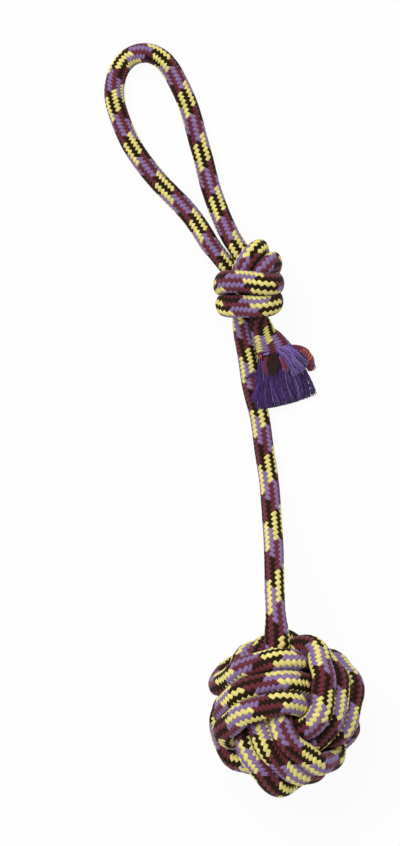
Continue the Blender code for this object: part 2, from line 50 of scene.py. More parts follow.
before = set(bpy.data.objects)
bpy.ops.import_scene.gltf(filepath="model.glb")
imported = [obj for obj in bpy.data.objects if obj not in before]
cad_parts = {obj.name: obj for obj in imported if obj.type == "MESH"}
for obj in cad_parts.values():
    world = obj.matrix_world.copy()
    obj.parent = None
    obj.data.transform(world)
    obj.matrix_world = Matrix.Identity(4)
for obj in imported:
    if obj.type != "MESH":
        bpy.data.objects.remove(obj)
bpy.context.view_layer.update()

MM = 0.001
DEG = math.pi / 180

# The sizes that the rope's route is worked out from.
ROPE_D = 12.7 * MM
CORE_D = 44 * MM
TURN_SPREAD_SHARE = 1.055
KNOT_SQUEEZE_SHARE = 0.8
STRAND_GAP = 1.1 * MM
PIECE_GAP = 0.3 * MM
CORE_ROOM = 3.7 * MM

# Where the ball lies, and how its winding is turned.
BALL_X = 31.6 * MM
BALL_FRONT_Y = -134.15 * MM
BALL_REST_SHARE = 0.90
FLAT_SHARE = 0.1
BALL_ROLL = 158 * DEG
BALL_TILT = 11 * DEG
TILT_TOWARDS = -22 * DEG

# The winding: a turn is outermost on two faces and innermost on the two between.
POINTS_PER_TURN = 48
OUTER_UNTIL = 18 * DEG
INNER_FROM = 60 * DEG
SHIFT_SPAN = 60 * DEG

# Each set in turn, in quarter turns from the middle of its first face: where it starts and
# stops, where it moves one turn over, and where it stays outermost on its way to the next set.
SET_END_SHARES = ((-0.85, 10.25), (-0.25, 10.25), (-0.25, 11.3))
SET_SHIFT_SHARES = ((2.85, 7.15), (3.0, 7.0), (3.0, 7.0))
SET_OUT_SHARES = ((9.8, 11.0), (9.8, 11.0), (12.0, 12.0))
SET_FIRST_SIDES = (1, -1, -1)

# The way in from the neck: outside the corner between two sets, then through its gap.
CORNER_OUT_SHARE = 0.86
CORNER_IN_SHARES = (0.90, 1.35, -0.75)

# How the strands are settled against each other.
SETTLE_STEP = 4.8 * MM
FINE_STEP = 0.3 * MM
END_STEP = 0.2 * MM
STEP_ROUNDING_SHARE = 0.01
WINDING_STEP_SHARE = 0.9
LEAD_STEPS = 3
HELD_POINTS = 3
FIST_ROUNDS = 900
KNOT_ROUNDS = 2500
ROUNDS_PER_MEASURE = 4
SETTLING_SHARE = 0.8
SLACK_FREE_SHARE = 1.6
PUSH_SHARE = 1.6
SMOOTH_SHARE = 0.25
LEAST_SMOOTH_SHARE = 0.01
RETURN_SHARE = 0.05

# Bends, as distances along the rope from the ball's neck.
NECK_STUB = 2 * MM
NECK_LEAD = 10 * MM
NECK_BEND = 20 * MM
FOLD_BEND = 24 * MM
FOLD_AT = 73 * MM
SWING_BEND = 20 * MM
SWING_AT = 132 * MM
LEG_BEND = 18 * MM
TAIL_BEND = 8 * MM

KNOT_D = KNOT_SQUEEZE_SHARE * ROPE_D
TURN_D = TURN_SPREAD_SHARE * ROPE_D
TURN_PITCH = TURN_D + STRAND_GAP
# Two turns lie on each side of the core, with some room to be pressed inwards.
BALL_D = CORE_D + 4 * TURN_D + 2 * STRAND_GAP + CORE_ROOM
BALL_Y = BALL_FRONT_Y - BALL_D / 2
# How far the line of a turn is from the ball's middle where it is outermost and innermost.
OUTER_REACH = (BALL_D - TURN_D) / 2
INNER_REACH = OUTER_REACH - TURN_D - STRAND_GAP

# The rope's route from the neck of the ball to the root of the tail, in millimetres.
STANDING_ROUTE = [
    (26.6, -134.0, 63.0), (25.9, -122.0, 59.5), (25.4, -102.9, 49.5), (25.0, -81.9, 35.0),
    (23.8, -61.0, 21.5), (22.1, -40.0, 11.5), (18.9, -18.4, 7.0), (15.9, 1.9, 6.35),
    (11.4, 19.7, 6.35), (8.9, 36.2, 8.0), (6.4, 52.1, 13.5),
]
FIRST_STRAND_ROUTE = [
    (5.6, 60.3, 17.0), (4.6, 72.0, 23.0), (3.8, 84.0, 28.0), (3.8, 94.6, 30.5),
    (6.5, 101.5, 30.5), (10.0, 104.2, 27.0), (15.5, 105.5, 19.5), (17.5, 101.5, 11.0),
    (12.5, 95.0, 6.8), (4.0, 88.5, 6.6), (-4.0, 85.5, 9.0), (-8.3, 85.5, 18.0),
    (-7.6, 86.4, 29.5), (0.0, 86.8, 38.5), (8.0, 86.6, 41.0), (16.0, 86.2, 38.5),
    (23.3, 86.0, 29.5), (24.0, 85.8, 20.5), (19.0, 87.6, 16.0), (12.5, 93.0, 17.0),
    (6.0, 99.8, 18.3), (1.4, 107.8, 17.8),
]
HANDLE_ROUTE = [
    (-6.0, 122.4, 13.0), (-10.9, 134.5, 9.5), (-15.6, 148.6, 7.2), (-19.4, 163.8, 6.35),
    (-23.4, 178.4, 6.35), (-26.9, 191.5, 6.35), (-31.0, 203.0, 6.35), (-36.2, 214.0, 6.35),
    (-41.6, 223.0, 6.35), (-48.3, 229.2, 6.35), (-56.8, 231.6, 6.35), (-65.4, 229.2, 6.35),
    (-71.5, 223.3, 6.35), (-75.2, 214.6, 6.35), (-76.0, 203.5, 6.35), (-71.8, 188.0, 6.35),
    (-64.5, 172.0, 6.35), (-52.0, 154.6, 6.35), (-40.5, 142.0, 7.2), (-29.5, 130.6, 9.5),
    (-19.2, 116.0, 14.0),
]
SECOND_STRAND_ROUTE = [
    (-10.6, 102.8, 17.8), (-2.5, 93.5, 17.0), (6.0, 84.5, 16.0), (16.0, 75.5, 15.5),
    (23.5, 70.5, 20.5), (24.3, 70.0, 29.5), (16.0, 70.0, 38.5), (8.0, 70.4, 41.0),
    (0.0, 70.8, 38.5), (-4.4, 71.0, 29.5), (-4.6, 71.5, 18.0), (-1.0, 73.5, 9.0),
    (7.0, 79.5, 6.6), (15.0, 86.5, 6.8), (22.5, 93.0, 9.0), (26.0, 95.0, 16.0),
    (24.5, 97.0, 24.5), (20.3, 97.3, 30.0), (16.8, 93.5, 31.5), (15.8, 86.0, 30.5),
    (15.6, 74.0, 28.5), (15.8, 64.0, 24.5),
]
TAIL_ROUTE = [
    (16.6, 59.0, 22.5), (18.0, 54.5, 20.6), (20.0, 50.0, 18.4), (22.4, 45.5, 15.8),
]


def unit(v):
    return np.asarray(v, float) / np.linalg.norm(v)


def smoothstep(t):
    t = np.clip(t, 0, 1)
    return t * t * (3 - 2 * t)


def ways_of(runs):
    """The unit direction of a run, or of each of several, at each of its points."""
    ways = np.gradient(runs, axis=-2)
    return ways / np.linalg.norm(ways, axis=-1, keepdims=True)


def eased(run, rounds=2):
    """The run with each inner point drawn towards its neighbours."""
    run = run.copy()
    for _ in range(rounds):
        run[1:-1] = (run[2:] + 2 * run[1:-1] + run[:-2]) / 4
    return run


def lengths_along(points):
    """The distance along a run of points from its first point to each."""
    steps = np.linalg.norm(np.diff(points, axis=0), axis=1)
    return np.concatenate([[0.0], np.cumsum(steps)])


def smooth_through(chosen, step):
    """A smooth curve through the chosen points, as points about a step apart."""
    p = np.asarray(chosen, float)
    t = lengths_along(p)
    h = np.diff(t)
    count = len(p)
    # A natural cubic spline: solve for the second derivatives at the chosen points.
    a = np.eye(count)
    b = np.zeros_like(p)
    for i in range(1, count - 1):
        a[i, i - 1 : i + 2] = h[i - 1], 2 * (h[i - 1] + h[i]), h[i]
        b[i] = 6 * ((p[i + 1] - p[i]) / h[i] - (p[i] - p[i - 1]) / h[i - 1])
    m = np.linalg.solve(a, b)
    at = np.linspace(0, t[-1], max(2, round(t[-1] / step) + 1))
    i = np.clip(np.searchsorted(t, at, side="right") - 1, 0, count - 2)
    u = (at - t[i])[:, None]
    w = h[i][:, None] - u
    hi = h[i][:, None]
    return (
        (m[i] * w**3 + m[i + 1] * u**3) / (6 * hi)
        + (p[i] / hi - m[i] * hi / 6) * w
        + (p[i + 1] / hi - m[i + 1] * hi / 6) * u
    )


def at_distances(run, along, places):
    """Each column of a table along a run, read at these distances."""
    return np.stack([np.interp(places, along, run[:, k]) for k in range(run.shape[1])], axis=-1)


def evenly_through(chosen, count):
    """A smooth curve through points given in millimetres, as this many points evenly apart."""
    curve = smooth_through(np.array(chosen) * MM, FINE_STEP)
    along = lengths_along(curve)
    return at_distances(curve, along, np.linspace(0, along[-1], count))


def stretch_of(points, start, stop, step):
    """The run between two distances along it, as points at most a step apart.

    A short first and last step square its ends to the run.
    """
    t = lengths_along(points)
    tip = min(END_STEP, (stop - start) / 4)
    count = max(2, math.ceil((stop - start) / step - STEP_ROUNDING_SHARE) + 1)
    at = np.linspace(start, stop, count)
    at = np.unique(np.concatenate([at, [start + tip, stop - tip]]))
    return at_distances(points, t, at)


def near_pairs(points, strand, along, apart):
    """Pairs of points nearer than apart that aren't neighbours along one strand."""
    i, j = np.triu_indices(len(points), 1)
    far = (strand[i] != strand[j]) | (
        np.abs(along[i] - along[j]) > SLACK_FREE_SHARE * apart
    )
    i, j = i[far], j[far]
    gap = np.linalg.norm(points[i] - points[j], axis=1)
    close = gap < apart
    return i[close], j[close], gap[close]


def settle(strands, held, apart, rounds, floor=None, core=None):
    """Push strands off each other, draw them smooth, and keep them near where they began.

    held gives, for each strand, how many points at its start and at its end stay put.
    """
    strand = np.concatenate([np.full(len(s), n) for n, s in enumerate(strands)])
    points = np.concatenate(strands)
    began = points.copy()
    free = np.concatenate([
        [h[0] <= k < len(s) - h[1] for k in range(len(s))] for s, h in zip(strands, held)
    ]).astype(float)[:, None]
    joined = (strand[1:] == strand[:-1])[:, None]
    inner = np.zeros((len(points), 1))
    inner[1:-1] = joined[1:] & joined[:-1]
    free *= inner
    ends = np.cumsum([0] + [len(s) for s in strands])
    for n in range(rounds):
        if n % ROUNDS_PER_MEASURE == 0:
            along = np.concatenate([
                lengths_along(points[a:b]) for a, b in zip(ends[:-1], ends[1:])
            ])
        i, j, gap = near_pairs(points, strand, along, apart)
        push = np.zeros_like(points)
        times = np.zeros((len(points), 1))
        away = (points[i] - points[j]) / gap[:, None] * ((apart - gap) / 2)[:, None]
        np.add.at(push, i, away)
        np.add.at(push, j, -away)
        np.add.at(times, i, 1)
        np.add.at(times, j, 1)
        ease = max(0.0, 1 - n / (SETTLING_SHARE * rounds))
        middle = np.zeros_like(points)
        middle[1:-1] = (points[2:] + points[:-2]) / 2 - points[1:-1]
        move = PUSH_SHARE * push / np.maximum(times, 1)
        move += (LEAST_SMOOTH_SHARE + SMOOTH_SHARE * ease) * middle
        move += RETURN_SHARE * ease * (began - points)
        points = points + free * move
        if floor is not None:
            low = free[:, 0] > 0
            points[low, 2] = np.maximum(points[low, 2], floor)
        if core is not None:
            centre, least = core
            out = points - centre
            reach = np.linalg.norm(out, axis=1, keepdims=True)
            points += free * out / reach * np.maximum(least - reach, 0)
    return [points[a:b] for a, b in zip(ends[:-1], ends[1:])]


def ball_axes():
    """The three directions of the winding's faces: left, right and lower, seen from above."""
    rise = math.asin(1 / math.sqrt(3))
    tilt = Matrix.Rotation(TILT_TOWARDS, 3, "Z")
    tilt = tilt @ Matrix.Rotation(BALL_TILT, 3, "Y") @ tilt.inverted()
    axes = []
    for n in range(3):
        turn = BALL_ROLL - n * 120 * DEG
        level = math.cos(rise)
        face = Vector((level * math.cos(turn), level * math.sin(turn), math.sin(rise)))
        axes.append(np.array(tilt @ face))
    return axes


def wound_set(across, out_face, in_face, number):
    """One set of turns about the axis across, relative to the ball's middle.

    Angles run from the middle of out_face towards in_face. The set's number picks its row in
    the tables of quarter turns, and the side along across that its first turn lies on.
    """
    (start, stop), shifts, (out_from, out_to) = (
        [share * math.pi / 2 for share in table[number]]
        for table in (SET_END_SHARES, SET_SHIFT_SHARES, SET_OUT_SHARES)
    )
    first_side = SET_FIRST_SIDES[number]
    count = round((stop - start) / (2 * math.pi) * POINTS_PER_TURN) + 1
    angle = np.linspace(start, stop, count)
    off_face = np.abs((angle + math.pi / 2) % math.pi - math.pi / 2)
    sunk = smoothstep((off_face - OUTER_UNTIL) / (INNER_FROM - OUTER_UNTIL))
    sunk[(angle > out_from) & (angle < out_to)] = 0
    reach = OUTER_REACH - (OUTER_REACH - INNER_REACH) * sunk
    offset = np.full(count, first_side * TURN_PITCH)
    for shift in shifts:
        offset -= first_side * TURN_PITCH * smoothstep((angle - shift) / SHIFT_SPAN + 0.5)
    radius = np.sqrt(reach**2 - offset**2)
    return (
        offset[:, None] * across
        + (radius * np.cos(angle))[:, None] * out_face
        + (radius * np.sin(angle))[:, None] * in_face
    )


def wound_ball(centre):
    """The rope's route through the ball, from the neck outside it to the tucked-in end."""
    left, right, lower = ball_axes()
    neck = unit(left + right - lower)
    along_left, along_right, along_lower = CORNER_IN_SHARES
    way_in = np.array([
        CORNER_OUT_SHARE * OUTER_REACH * neck,
        along_left * INNER_REACH * left
        + TURN_PITCH * (along_right * right + along_lower * lower),
    ])
    first = wound_set(right, lower, -left, 0)
    second = wound_set(lower, left, right, 1)
    third = wound_set(left, -right, -lower, 2)
    route = np.concatenate([way_in, first, second, third])
    return centre + smooth_through(route, WINDING_STEP_SHARE * SETTLE_STEP)


def settled_ball(centre, neck):
    """The winding, settled on the core with its neck held straight where it comes out."""
    inward = unit(neck[-1] - neck[0])
    lead = neck[-1] + inward * np.linspace(0, NECK_LEAD, LEAD_STEPS + 1)[1:, None]
    held = np.concatenate([neck, lead])
    winding = wound_ball(centre)
    between = smooth_through(np.stack([held[-2], held[-1], winding[0]]), SETTLE_STEP)[2:-1]
    route = np.concatenate([held, between, winding])
    least = (CORE_D + TURN_D) / 2 + PIECE_GAP
    settled = settle(
        [route], [(len(held), 1)], TURN_PITCH, FIST_ROUNDS,
        floor=(1 / 2 - FLAT_SHARE) * TURN_D, core=(centre, least),
    )[0]
    return smooth_through(settled, FINE_STEP)


def nearest(points, place):
    return int(np.argmin(np.linalg.norm(points - np.asarray(place) * MM, axis=1)))


def rope_route():
    """The rope from the ball's neck to the tail, and where along it each part begins."""
    chosen = (
        STANDING_ROUTE + FIRST_STRAND_ROUTE + HANDLE_ROUTE + SECOND_STRAND_ROUTE + TAIL_ROUTE
    )
    route = smooth_through(np.array(chosen) * MM, SETTLE_STEP)
    starts = [
        nearest(route, place)
        for place in (STANDING_ROUTE[-1], HANDLE_ROUTE[0], HANDLE_ROUTE[-1], TAIL_ROUTE[0])
    ]
    into_knot, loop_starts, loop_ends, tail_starts = starts
    first, second = settle(
        [route[into_knot : loop_starts + 1], route[loop_ends : tail_starts + 1]],
        [(HELD_POINTS, HELD_POINTS)] * 2, KNOT_D + STRAND_GAP, KNOT_ROUNDS, floor=KNOT_D / 2,
    )
    route[into_knot : loop_starts + 1] = first
    route[loop_ends : tail_starts + 1] = second
    along = lengths_along(route)
    marks = [along[n] for n in starts]
    return smooth_through(route, FINE_STEP), marks


# The look of the braid.
COLUMNS = 12
# The last look is the near-black tube under the stitches, painted shade for the gaps between them.
YELLOW, BLACK, MAROON, LAVENDER, PAINTED_SHADE = range(5)
STITCHES_PER_COLOUR = 6
COLUMN_SHIFT = 2
STITCH_OVERLAP = 1.12
DARK_PHASE = 2
LIGHT_PHASE = 3
PLUMP_SPREAD = 0.06
YARN_SHIFT = 200 * MM
BRAID_SEED = 11
FRAME_STEP = 0.6 * MM
SECTION_STEP = 2.4 * MM
SECTION_SIDES = 24
PATH_STEP = 4 * MM
# How deep the near-black tube of painted shade lies, as a share of the stitch depth.
PAINTED_SHADE_DEPTH_SHARE = 0.8
FLOOR_GAP = 0.02 * MM

# A stitch is modelled from a ball of few faces: its corners are drawn out and its shoulders filled.
STITCH_SEGMENTS = 8
STITCH_RINGS = 4
CORNER_SHARE = 1.27
SHOULDER_SHARE = 1.2
SHOULDER_HEIGHTS = (0.3, 0.9)
NO_OFFSET = 0.1

# Where the rope's half width and height change, from where they start to do so and over how much.
BALL_ENDS = (-4 * MM, 16 * MM)
KNOT_BEGINS = (-6 * MM, 18 * MM)
KNOT_LETS_GO = (-22 * MM, 16 * MM)
KNOT_TAKES_BACK = (6 * MM, 16 * MM)
TAIL_BEGINS = (-6 * MM, 8 * MM)

# How a strand is pressed: its least radius, the least slope at which it faces another strand or
# the floor, and the middle of the knot that its strands lie round.
LEAST_RADIUS = 3.4 * MM
LEAST_FACING = 0.2
LEAST_DOWN = 0.05
UNPRESSED = 1.0
KNOT_AXIS_X = 9.5 * MM
KNOT_AXIS_Z = 23 * MM

# Where one piece of the rope hands over to the next, as distances from the ball's neck.
BALL_PIECES = ("inner_turns", "middle_turns", "outer_turns")
BALL_PIECES_END = -30 * MM
NECK_PIECE_FROM = -45 * MM
FOLD_PIECE_FROM = 41 * MM
SWING_PIECE_FROM = 119 * MM
LEG_OVERLAP = LEG_BEND / 2 + PIECE_GAP

# The middle of a yellow block on the standing rope, which the pattern is counted from.
BLOCK_AT = 114.5 * MM

# How the pattern turns and slips along the rope: distance in millimetres, turn in degrees and
# slip in stitches.
PATTERN_ANCHORS = [
    (-2400, -51, 20.5), (-2143, -51, 20.5), (-2110, -42, 20.0), (-1885, -21, 18.0),
    (-1622, -24, 22.0), (-1345, -24, 18.25), (-1310, 18, 18.25), (-1086, 57, 15.0),
    (-1052, 66, 13.75), (-830, -21, 15.25), (-800, -54, 15.5), (-585, 69, 14.25),
    (-348, 84, 9.0), (-322, 132, 9.5), (-85, 3, 10.0), (0, 30, 7.0), (26, 27, 5.25),
    (72, 18, 2.25), (114, 9, 0), (150, 14, -0.25), (187, 15, -0.25), (215, -10, -0.05),
    (246, -39, -1.6), (262, -53, -1.6), (310, -58, 1.95), (350, -63, 3.25), (417, -57, 3.7),
    (446, -45, 4.75), (480, -51, 4.8), (515, -45, 4.85), (547, -39, 6.25), (569, 0, 9.0),
    (598, -27, 12.5), (630, -45, 14.5), (662, -54, 15.7), (684, -56, 15.95), (712, -53, 16.75),
    (725, -50, 17.3), (790, -36, 18.25), (822, -20, 19.2), (876, -48, 24.0), (888, -48, 24.7),
    (925, 57, 22.0), (937, 69, 24.25), (945, 78, 25.5),
]

# The opened end of the braid: offsets of its line from where it starts, as shares of the
# rope's diameter, then its half widths and half heights, and how far its cut is turned.
OPENED_ROUTE_SHARES = [
    (0.00, 0.00, 0.00), (0.24, -0.35, -0.20), (0.46, -0.66, -0.40), (0.58, -0.80, -0.49),
]
OPENED_HALF_WIDTHS = (7.8 * MM, 10.8 * MM, 12.0 * MM, 12.4 * MM)
OPENED_HALF_HEIGHTS = (5.2 * MM, 4.6 * MM, 4.2 * MM, 4.0 * MM)
OPENED_TURN = -18 * DEG
EVEN_POWER = 0.68

# The fans of loose yarn: their left edge, middle and right edge from root to tip, or only their
# two edges, in millimetres.
FRINGE_FAN = (
    [(14.9, 39.5, 12.0), (14.6, 34.0, 12.5), (14.4, 26.0, 12.8), (14.2, 17.1, 13.4),
     (15.2, 5.0, 13.6)],
    [(26.0, 41.3, 12.5), (27.3, 33.0, 12.2), (28.6, 23.5, 8.5), (31.8, 7.4, 4.2)],
    [(36.4, 42.3, 12.0), (40.4, 38.5, 10.5), (46.7, 30.2, 6.5), (49.4, 22.9, 4.0),
     (50.8, 13.7, 2.5)],
)
OVER_ROPE_FAN = (
    [(17.0, 30.6, 12.5), (10.8, 27.3, 14.0), (5.8, 25.4, 13.0)],
    [(17.5, 27.9, 12.5), (10.8, 25.1, 14.0), (6.4, 23.2, 13.0)],
)
LEFT_STRAY_FAN = (
    [(15.9, 25.5, 12.0), (12.9, 16.5, 14.0), (10.3, 10.5, 14.0)],
    [(17.5, 23.2, 12.0), (15.2, 14.6, 14.0), (14.0, 7.6, 14.0)],
)
RIGHT_STRAY_FAN = (
    [(44.4, 29.5, 6.5), (48.5, 19.8, 4.0), (50.8, 13.0, 2.0)],
    [(46.2, 30.0, 6.5), (50.8, 20.7, 4.0), (53.7, 15.2, 2.0)],
)
# The tail's mouth is filled with near-black yarns, painted shade of its open hollow.
HOLLOW_SHADE_FAN = (
    [(23.0, 40.4, 16.2), (20.9, 34.5, 15.8), (21.4, 27.6, 13.6)],
    [(25.0, 40.9, 16.4), (25.2, 34.5, 16.0), (24.8, 26.4, 13.4)],
    [(26.6, 40.9, 16.4), (29.4, 34.5, 15.6), (28.0, 27.6, 13.0)],
)
HOLLOW_RIM_FAN = (
    [(20.2, 39.5, 15.9), (18.3, 33.4, 15.6), (19.6, 26.7, 13.6)],
    [(22.8, 40.0, 16.4), (20.6, 33.8, 16.0), (22.0, 26.2, 13.8)],
)
RED_FAN = (
    [(28.6, 38.9, 16.6), (30.3, 32.4, 16.0), (30.8, 29.0, 14.2)],
    [(30.6, 38.0, 17.4), (33.9, 32.4, 16.6), (35.1, 28.4, 14.2)],
)
LAVENDER_FAN = (
    [(25.6, 41.6, 16.5), (30.9, 36.9, 16.0), (34.2, 31.6, 13.8), (37.6, 26.0, 10.0)],
    [(30.0, 44.5, 17.0), (34.7, 40.3, 16.4), (39.0, 35.0, 13.4), (43.6, 28.0, 9.6)],
    [(34.0, 46.2, 16.0), (37.9, 43.5, 15.0), (42.0, 39.8, 12.5), (47.3, 34.6, 8.8)],
)
DARK_EDGE_FAN = (
    [(31.8, 44.4, 14.0), (37.0, 40.8, 12.5), (42.0, 36.5, 9.6), (46.6, 29.6, 7.0)],
    [(34.6, 46.2, 14.0), (39.4, 44.8, 12.0), (44.6, 41.2, 9.5), (48.3, 37.0, 7.5)],
)
ARC_FAN = (
    [(36.5, 44.2, 13.2), (41.5, 42.6, 10.8), (45.7, 40.6, 8.5)],
    [(37.6, 45.8, 13.2), (43.8, 44.9, 10.5), (48.3, 42.0, 8.5)],
)
TUFT_FAN = (
    [(46.6, 38.0, 6.8), (46.4, 33.7, 5.0), (46.9, 30.4, 4.0)],
    [(48.2, 38.2, 7.0), (48.6, 33.7, 5.6), (48.6, 29.0, 4.2)],
    [(49.7, 38.1, 6.5), (50.8, 34.3, 5.0), (50.4, 30.0, 4.0)],
)
TUFT_THREAD_FAN = (
    [(49.4, 38.9, 6.5), (50.8, 34.3, 4.5), (51.8, 30.5, 3.0)],
    [(50.2, 39.2, 6.5), (51.5, 34.6, 4.5), (52.5, 30.3, 3.0)],
)
CUT_END_FAN = (
    [(15.0, 40.8, 14.8), (15.2, 38.4, 15.2), (14.8, 36.8, 14.4)],
    [(18.0, 41.2, 16.8), (17.8, 39.0, 16.8), (17.0, 37.2, 15.6)],
)
CURL_FAN = (
    [(17.8, 40.0, 16.8), (20.3, 39.2, 18.2), (22.6, 40.4, 18.6)],
    [(17.6, 41.2, 17.0), (20.2, 40.8, 18.4), (23.0, 41.4, 18.6)],
)
TWIST_ROUTE = [(42.0, 42.9, 10.0), (45.0, 41.4, 8.8), (47.2, 39.0, 7.8), (47.8, 36.8, 6.8)]

# How a loose yarn runs in its fan.
FIBRE_STEPS = 8
FIBRE_SIDES = 4
FIBRE_SHIFT = 10 * MM
FIBRE_SEED = 5
FIBRE_WIDTHS = (0.8, 1.35)
NEARLY_UP = np.array([0.3, 0.1, 1.0])
FAN_MARKS = 60
FAN_EDGE_SHARE = 0.94
FAN_ROUND_SHARE = 0.9
SPOT_TURN = 0.4
DROOP_POWER = 2.2
BEND_POWER = 1.5
WAVE_SHARE = 0.3
WAVE_TURNS = (5, 12)
WAVE_SCATTER = 7
LIFT_SHARE = 0.4
ROPE_CLEARANCE = 0.4 * MM

# The twist of orange and maroon strands.
TWIST_STRANDS = 6
TWIST_TURN = 9
TWIST_REACH = 1.6 * MM
TWIST_STRAND_D = 1.8 * MM

# The grain of the yarns, the rubber and the floor.
NOISE_REACH = (0.3, 0.7)
FILAMENT_SCALE = (350, 4200, 1)
PATCH_SCALE = 260
PATCH_SHADES = (0.84, 1.14)
YARN_RELIEF = 0.12 * MM
# How much darker the violet yarn's painted-shade copy is.
SHADE_DARKENING = 2.5
RUBBER_GRAIN = 900
RUBBER_TONES = ((0.012, 0.010, 0.014), (0.035, 0.028, 0.034))
RUBBER_RELIEF = 0.1 * MM
FLOOR_GRAIN = 6
FLOOR_TONES = ((0.93, 0.93, 0.93), (0.96, 0.96, 0.96))
WHITE_SHARE = 0.93

# The stage: the floor's side, the key light's turn and softness, and the camera, which looks
# straight down.
FLOOR_SIZE = 8
SUN_TURN = (-28 * DEG, -22 * DEG, 0)
SUN_SPREAD = 40 * DEG
CAMERA_OVER = (-21.6 * MM, -3.8 * MM)
FOCUS_HEIGHT = 15 * MM
SENSOR_HEIGHT = 36
CAMERA_SEES_TO = 100

# What has been worked out or made once, for the pieces that share it.
WORKED = {}
LOOKS = {}


class RopeToyBraid(bpy.types.PropertyGroup):
    """The braid's sizes and colours."""

    pitch: bpy.props.FloatProperty(
        name="Stitch pitch", description="Distance from one stitch to the next along the rope",
        default=2.99 * MM, unit="LENGTH",
    )
    slope: bpy.props.FloatProperty(
        name="Stitch slope", description="Rise of a stitch across its column",
        default=38 * DEG, subtype="ANGLE",
    )
    depth: bpy.props.FloatProperty(
        name="Stitch depth", description="How far a stitch stands out of the groove beside it",
        default=0.5 * MM, unit="LENGTH",
    )
    yellow: bpy.props.FloatVectorProperty(
        name="Yellow yarn", description="Colour of the lemon yarn", subtype="COLOR",
        default=(0.86, 0.75, 0.225),
    )
    black: bpy.props.FloatVectorProperty(
        name="Black yarn", description="Colour of the black yarn", subtype="COLOR",
        default=(0.019, 0.009, 0.004),
    )
    maroon: bpy.props.FloatVectorProperty(
        name="Maroon yarn", description="Colour of the maroon yarn", subtype="COLOR",
        default=(0.145, 0.018, 0.030),
    )
    lavender: bpy.props.FloatVectorProperty(
        name="Lavender yarn", description="Colour of the lavender yarn", subtype="COLOR",
        default=(0.258, 0.168, 0.355),
    )
    # Painted shade: a near-black colour for the tube that shows deep between the stitches, standing
    # in for the shade there.
    painted_shade: bpy.props.FloatVectorProperty(
        name="Ground", description="Colour deep between the stitches", subtype="COLOR",
        default=(0.02, 0.008, 0.014),
    )


class RopeToyBall(bpy.types.PropertyGroup):
    """How the rope is pressed in the ball and the knot."""

    ball_width: bpy.props.FloatProperty(
        name="Width in the ball", description="Most half width of a strand on the ball",
        default=8.0 * MM, unit="LENGTH",
    )
    ball_height: bpy.props.FloatProperty(
        name="Height in the ball", description="Half height of a strand on the ball",
        default=6.5 * MM, unit="LENGTH",
    )
    knot_width: bpy.props.FloatProperty(
        name="Width in the knot", description="Most half width of a strand of the knot",
        default=7.4 * MM, unit="LENGTH",
    )
    knot_height: bpy.props.FloatProperty(
        name="Height in the knot", description="Half height of a strand of the knot",
        default=5.5 * MM, unit="LENGTH",
    )


class RopeToyTail(bpy.types.PropertyGroup):
    """The frayed tail's yarns."""

    fringe_count: bpy.props.IntProperty(
        name="Core yarns", description="Number of violet core yarns in the fringe", default=820,
    )
    fibre: bpy.props.FloatProperty(
        name="Yarn width", description="Width of one loose yarn", default=0.42 * MM,
        unit="LENGTH",
    )
    violet: bpy.props.FloatVectorProperty(
        name="Violet yarn", description="Colour of the core yarns", subtype="COLOR",
        default=(0.075, 0.018, 0.19),
    )
    lavender: bpy.props.FloatVectorProperty(
        name="Loose lavender yarn", description="Colour of the frayed lavender yarns",
        subtype="COLOR", default=(0.24, 0.15, 0.46),
    )
    maroon: bpy.props.FloatVectorProperty(
        name="Loose maroon yarn", description="Colour of the frayed maroon yarns",
        subtype="COLOR", default=(0.185, 0.018, 0.04),
    )
    orange: bpy.props.FloatVectorProperty(
        name="Orange yarn", description="Colour of the twisted orange yarn", subtype="COLOR",
        default=(0.58, 0.16, 0.06),
    )
    # Painted shade: the near-black colour of the yarns that stand in for the shade in the tail's
    # open mouth.
    hollow_shade: bpy.props.FloatVectorProperty(
        name="Hollow", description="Colour of the dark yarn ends in the tail's mouth",
        subtype="COLOR", default=(0.030, 0.009, 0.006),
    )


class RopeToyStage(bpy.types.PropertyGroup):
    """The floor, the lamps and the camera."""

    camera_height: bpy.props.FloatProperty(
        name="Camera height", description="Height of the camera over the floor", default=6.0,
        unit="LENGTH",
    )
    view_height: bpy.props.FloatProperty(
        name="View height", description="Length of floor from the top of the picture to its foot",
        default=0.5372, unit="LENGTH",
    )
    sun: bpy.props.FloatProperty(
        name="Sun strength", description="Strength of the soft key light", default=1.7,
    )
    sky: bpy.props.FloatProperty(
        name="Sky strength", description="Strength of the even light from all round",
        default=0.52,
    )


def turned_level(vectors, angle):
    """Vectors turned about the upright axis, row by row."""
    c, s = np.cos(angle), np.sin(angle)
    x, y, z = vectors.T
    return np.stack([c * x - s * y, s * x + c * y, z], axis=-1)


def square_to(vectors, ways):
    """The part of each vector that is square to its way, as unit vectors."""
    flat = vectors - np.sum(vectors * ways, axis=1, keepdims=True) * ways
    return flat / np.maximum(np.linalg.norm(flat, axis=1, keepdims=True), 1e-9)


def carried_frames(line, ways, start):
    """A direction square to the line that doesn't twist about it, up at the start."""
    sides = np.zeros_like(line)
    sides[start] = unit(np.array([0, 0, 1.0]) - ways[start, 2] * ways[start])
    for step in (1, -1):
        n = start
        side = sides[start]
        while 0 <= n + step < len(line):
            n += step
            side = side - (side @ ways[n]) * ways[n]
            side = side / math.sqrt(side @ side)
            sides[n] = side
    return sides


